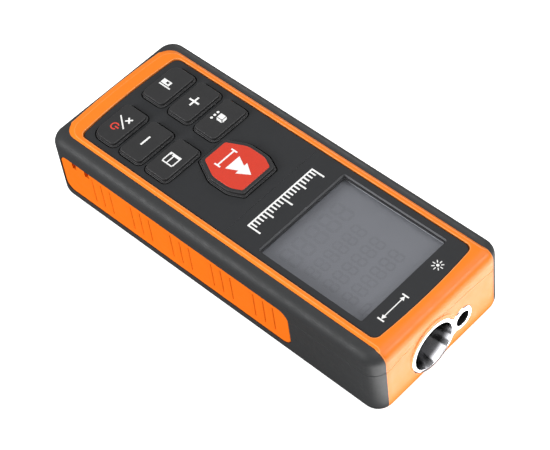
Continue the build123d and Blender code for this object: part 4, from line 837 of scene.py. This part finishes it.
def display_rows():
    """Three rows of small digits, one row of large ones below them, and a battery sign above."""
    small_left, small_foot = -7.0, -5.4
    small_height, small_pitch, row_pitch = 4.4, 3.6, 6.6
    large_left, large_foot = -9.5, -14.2
    large_height, large_pitch = 6.4, 5.0
    sign_left, sign_right, sign_foot, sign_head = 10.4, 14.2, 14.2, 16.0
    sign_line, tip = 0.3, 0.5
    shapes = []
    for row in range(3):
        for column in range(6):
            x = small_left + column * small_pitch
            shapes += seven_segments(x, small_foot + row * row_pitch, small_height)
    for column in range(5):
        shapes += seven_segments(large_left + column * large_pitch, large_foot, large_height)
    shapes.append(hollow_rectangle(sign_left, sign_foot, sign_right, sign_head, sign_line))
    shapes.append(solid(rectangle(sign_left - tip, sign_foot + tip, sign_left, sign_head - tip)))
    return shapes


display_middle, display_top = node_middle("display_module")
segment_look = liquid_crystal("display_segment_look", tuple(c * 0.94 for c in DISPLAY_GREY), DISPLAY_PAINTED_LIGHT)
rows = display_rows()
printed("display_segments", rows, display_middle, display_top, "body", segment_look)


# ---------------------------------------------------------------- camera, light and floor


def look_direction(azimuth, elevation):
    """Unit vector from the object to a viewer at this azimuth and elevation."""
    turn, rise = math.radians(azimuth), math.radians(elevation)
    return Vector((math.sin(turn) * math.cos(rise), -math.cos(turn) * math.cos(rise), math.sin(rise)))


def add_camera(target):
    back = look_direction(VIEW_AZIMUTH, VIEW_ELEVATION)
    level = Vector((0, 0, 1)).cross(back).normalized()
    upright = back.cross(level)
    roll = math.radians(VIEW_ROLL)
    right = level * math.cos(roll) + upright * math.sin(roll)
    up = back.cross(right)
    lens = bpy.data.cameras.new("camera")
    lens.lens = VIEW_LENS
    lens.sensor_width = VIEW_SENSOR
    camera = bpy.data.objects.new("camera", lens)
    camera.matrix_world = Matrix((right, up, back)).transposed().to_4x4()
    camera.location = target + back * VIEW_DISTANCE
    bpy.context.scene.collection.objects.link(camera)
    bpy.context.scene.camera = camera


def add_softbox(name, target, direction, width, height, power, mirrored):
    """Rectangular lamp that faces the target from this direction."""
    light = bpy.data.lights.new(name, "AREA")
    light.shape = "RECTANGLE"
    light.size = width
    light.size_y = height
    light.energy = power
    lamp = bpy.data.objects.new(name, light)
    towards = Vector(direction).normalized()
    lamp.location = target + towards * LIGHT_DISTANCE
    lamp.visible_glossy = mirrored
    lamp.rotation_euler = towards.to_track_quat("Z", "Y").to_euler()
    bpy.context.scene.collection.objects.link(lamp)


def add_floor_lamp(name, place, width, length, radiance):
    """Glowing sheet that faces up and lights the laser end from below and in front."""
    light = bpy.data.lights.new(name, "AREA")
    light.shape = "RECTANGLE"
    light.size = width
    light.size_y = length
    light.energy = radiance * math.pi * width * length
    lamp = bpy.data.objects.new(name, light)
    lamp.location = place
    lamp.rotation_euler = (math.pi, 0, 0)
    lamp.visible_camera = False
    bpy.context.scene.collection.objects.link(lamp)


def add_floor():
    half = FLOOR_SIZE / 2
    data = bpy.data.meshes.new("floor")
    corners = [(-half, -half, 0), (half, -half, 0), (half, half, 0), (-half, half, 0)]
    data.from_pydata(corners, [], [(0, 1, 2, 3)])
    data.materials.append(floor_paper("floor_look"))
    floor = bpy.data.objects.new("floor", data)
    floor.location.z = -0.02 * MM
    bpy.context.scene.collection.objects.link(floor)


def add_world():
    """White to the camera, soft grey to everything else."""
    world = bpy.data.worlds.new("studio")
    world.use_nodes = True
    tree = world.node_tree
    background = tree.nodes["Background"]
    path = tree.nodes.new("ShaderNodeLightPath")
    tone = tree.nodes.new("ShaderNodeMapRange")
    tone.inputs["To Min"].default_value = AMBIENT
    tone.inputs["To Max"].default_value = 1.0
    tree.links.new(path.outputs["Is Camera Ray"], tone.inputs["Value"])
    tree.links.new(tone.outputs["Result"], background.inputs["Strength"])
    background.inputs["Color"].default_value = (1, 1, 1, 1)
    bpy.context.scene.world = world


middle_of_object = (Vector(cad_box[0]) + Vector(cad_box[1])) / 2
add_camera(middle_of_object + AIM_OFFSET)
for name, settings in SOFTBOXES.items():
    add_softbox(name, middle_of_object, *settings)
add_floor_lamp("laser_end_glow", SHEET_PLACE, SHEET_WIDTH, SHEET_LENGTH, SHEET_RADIANCE)
add_floor()
add_world()
bpy.context.scene.view_settings.view_transform = "Standard"
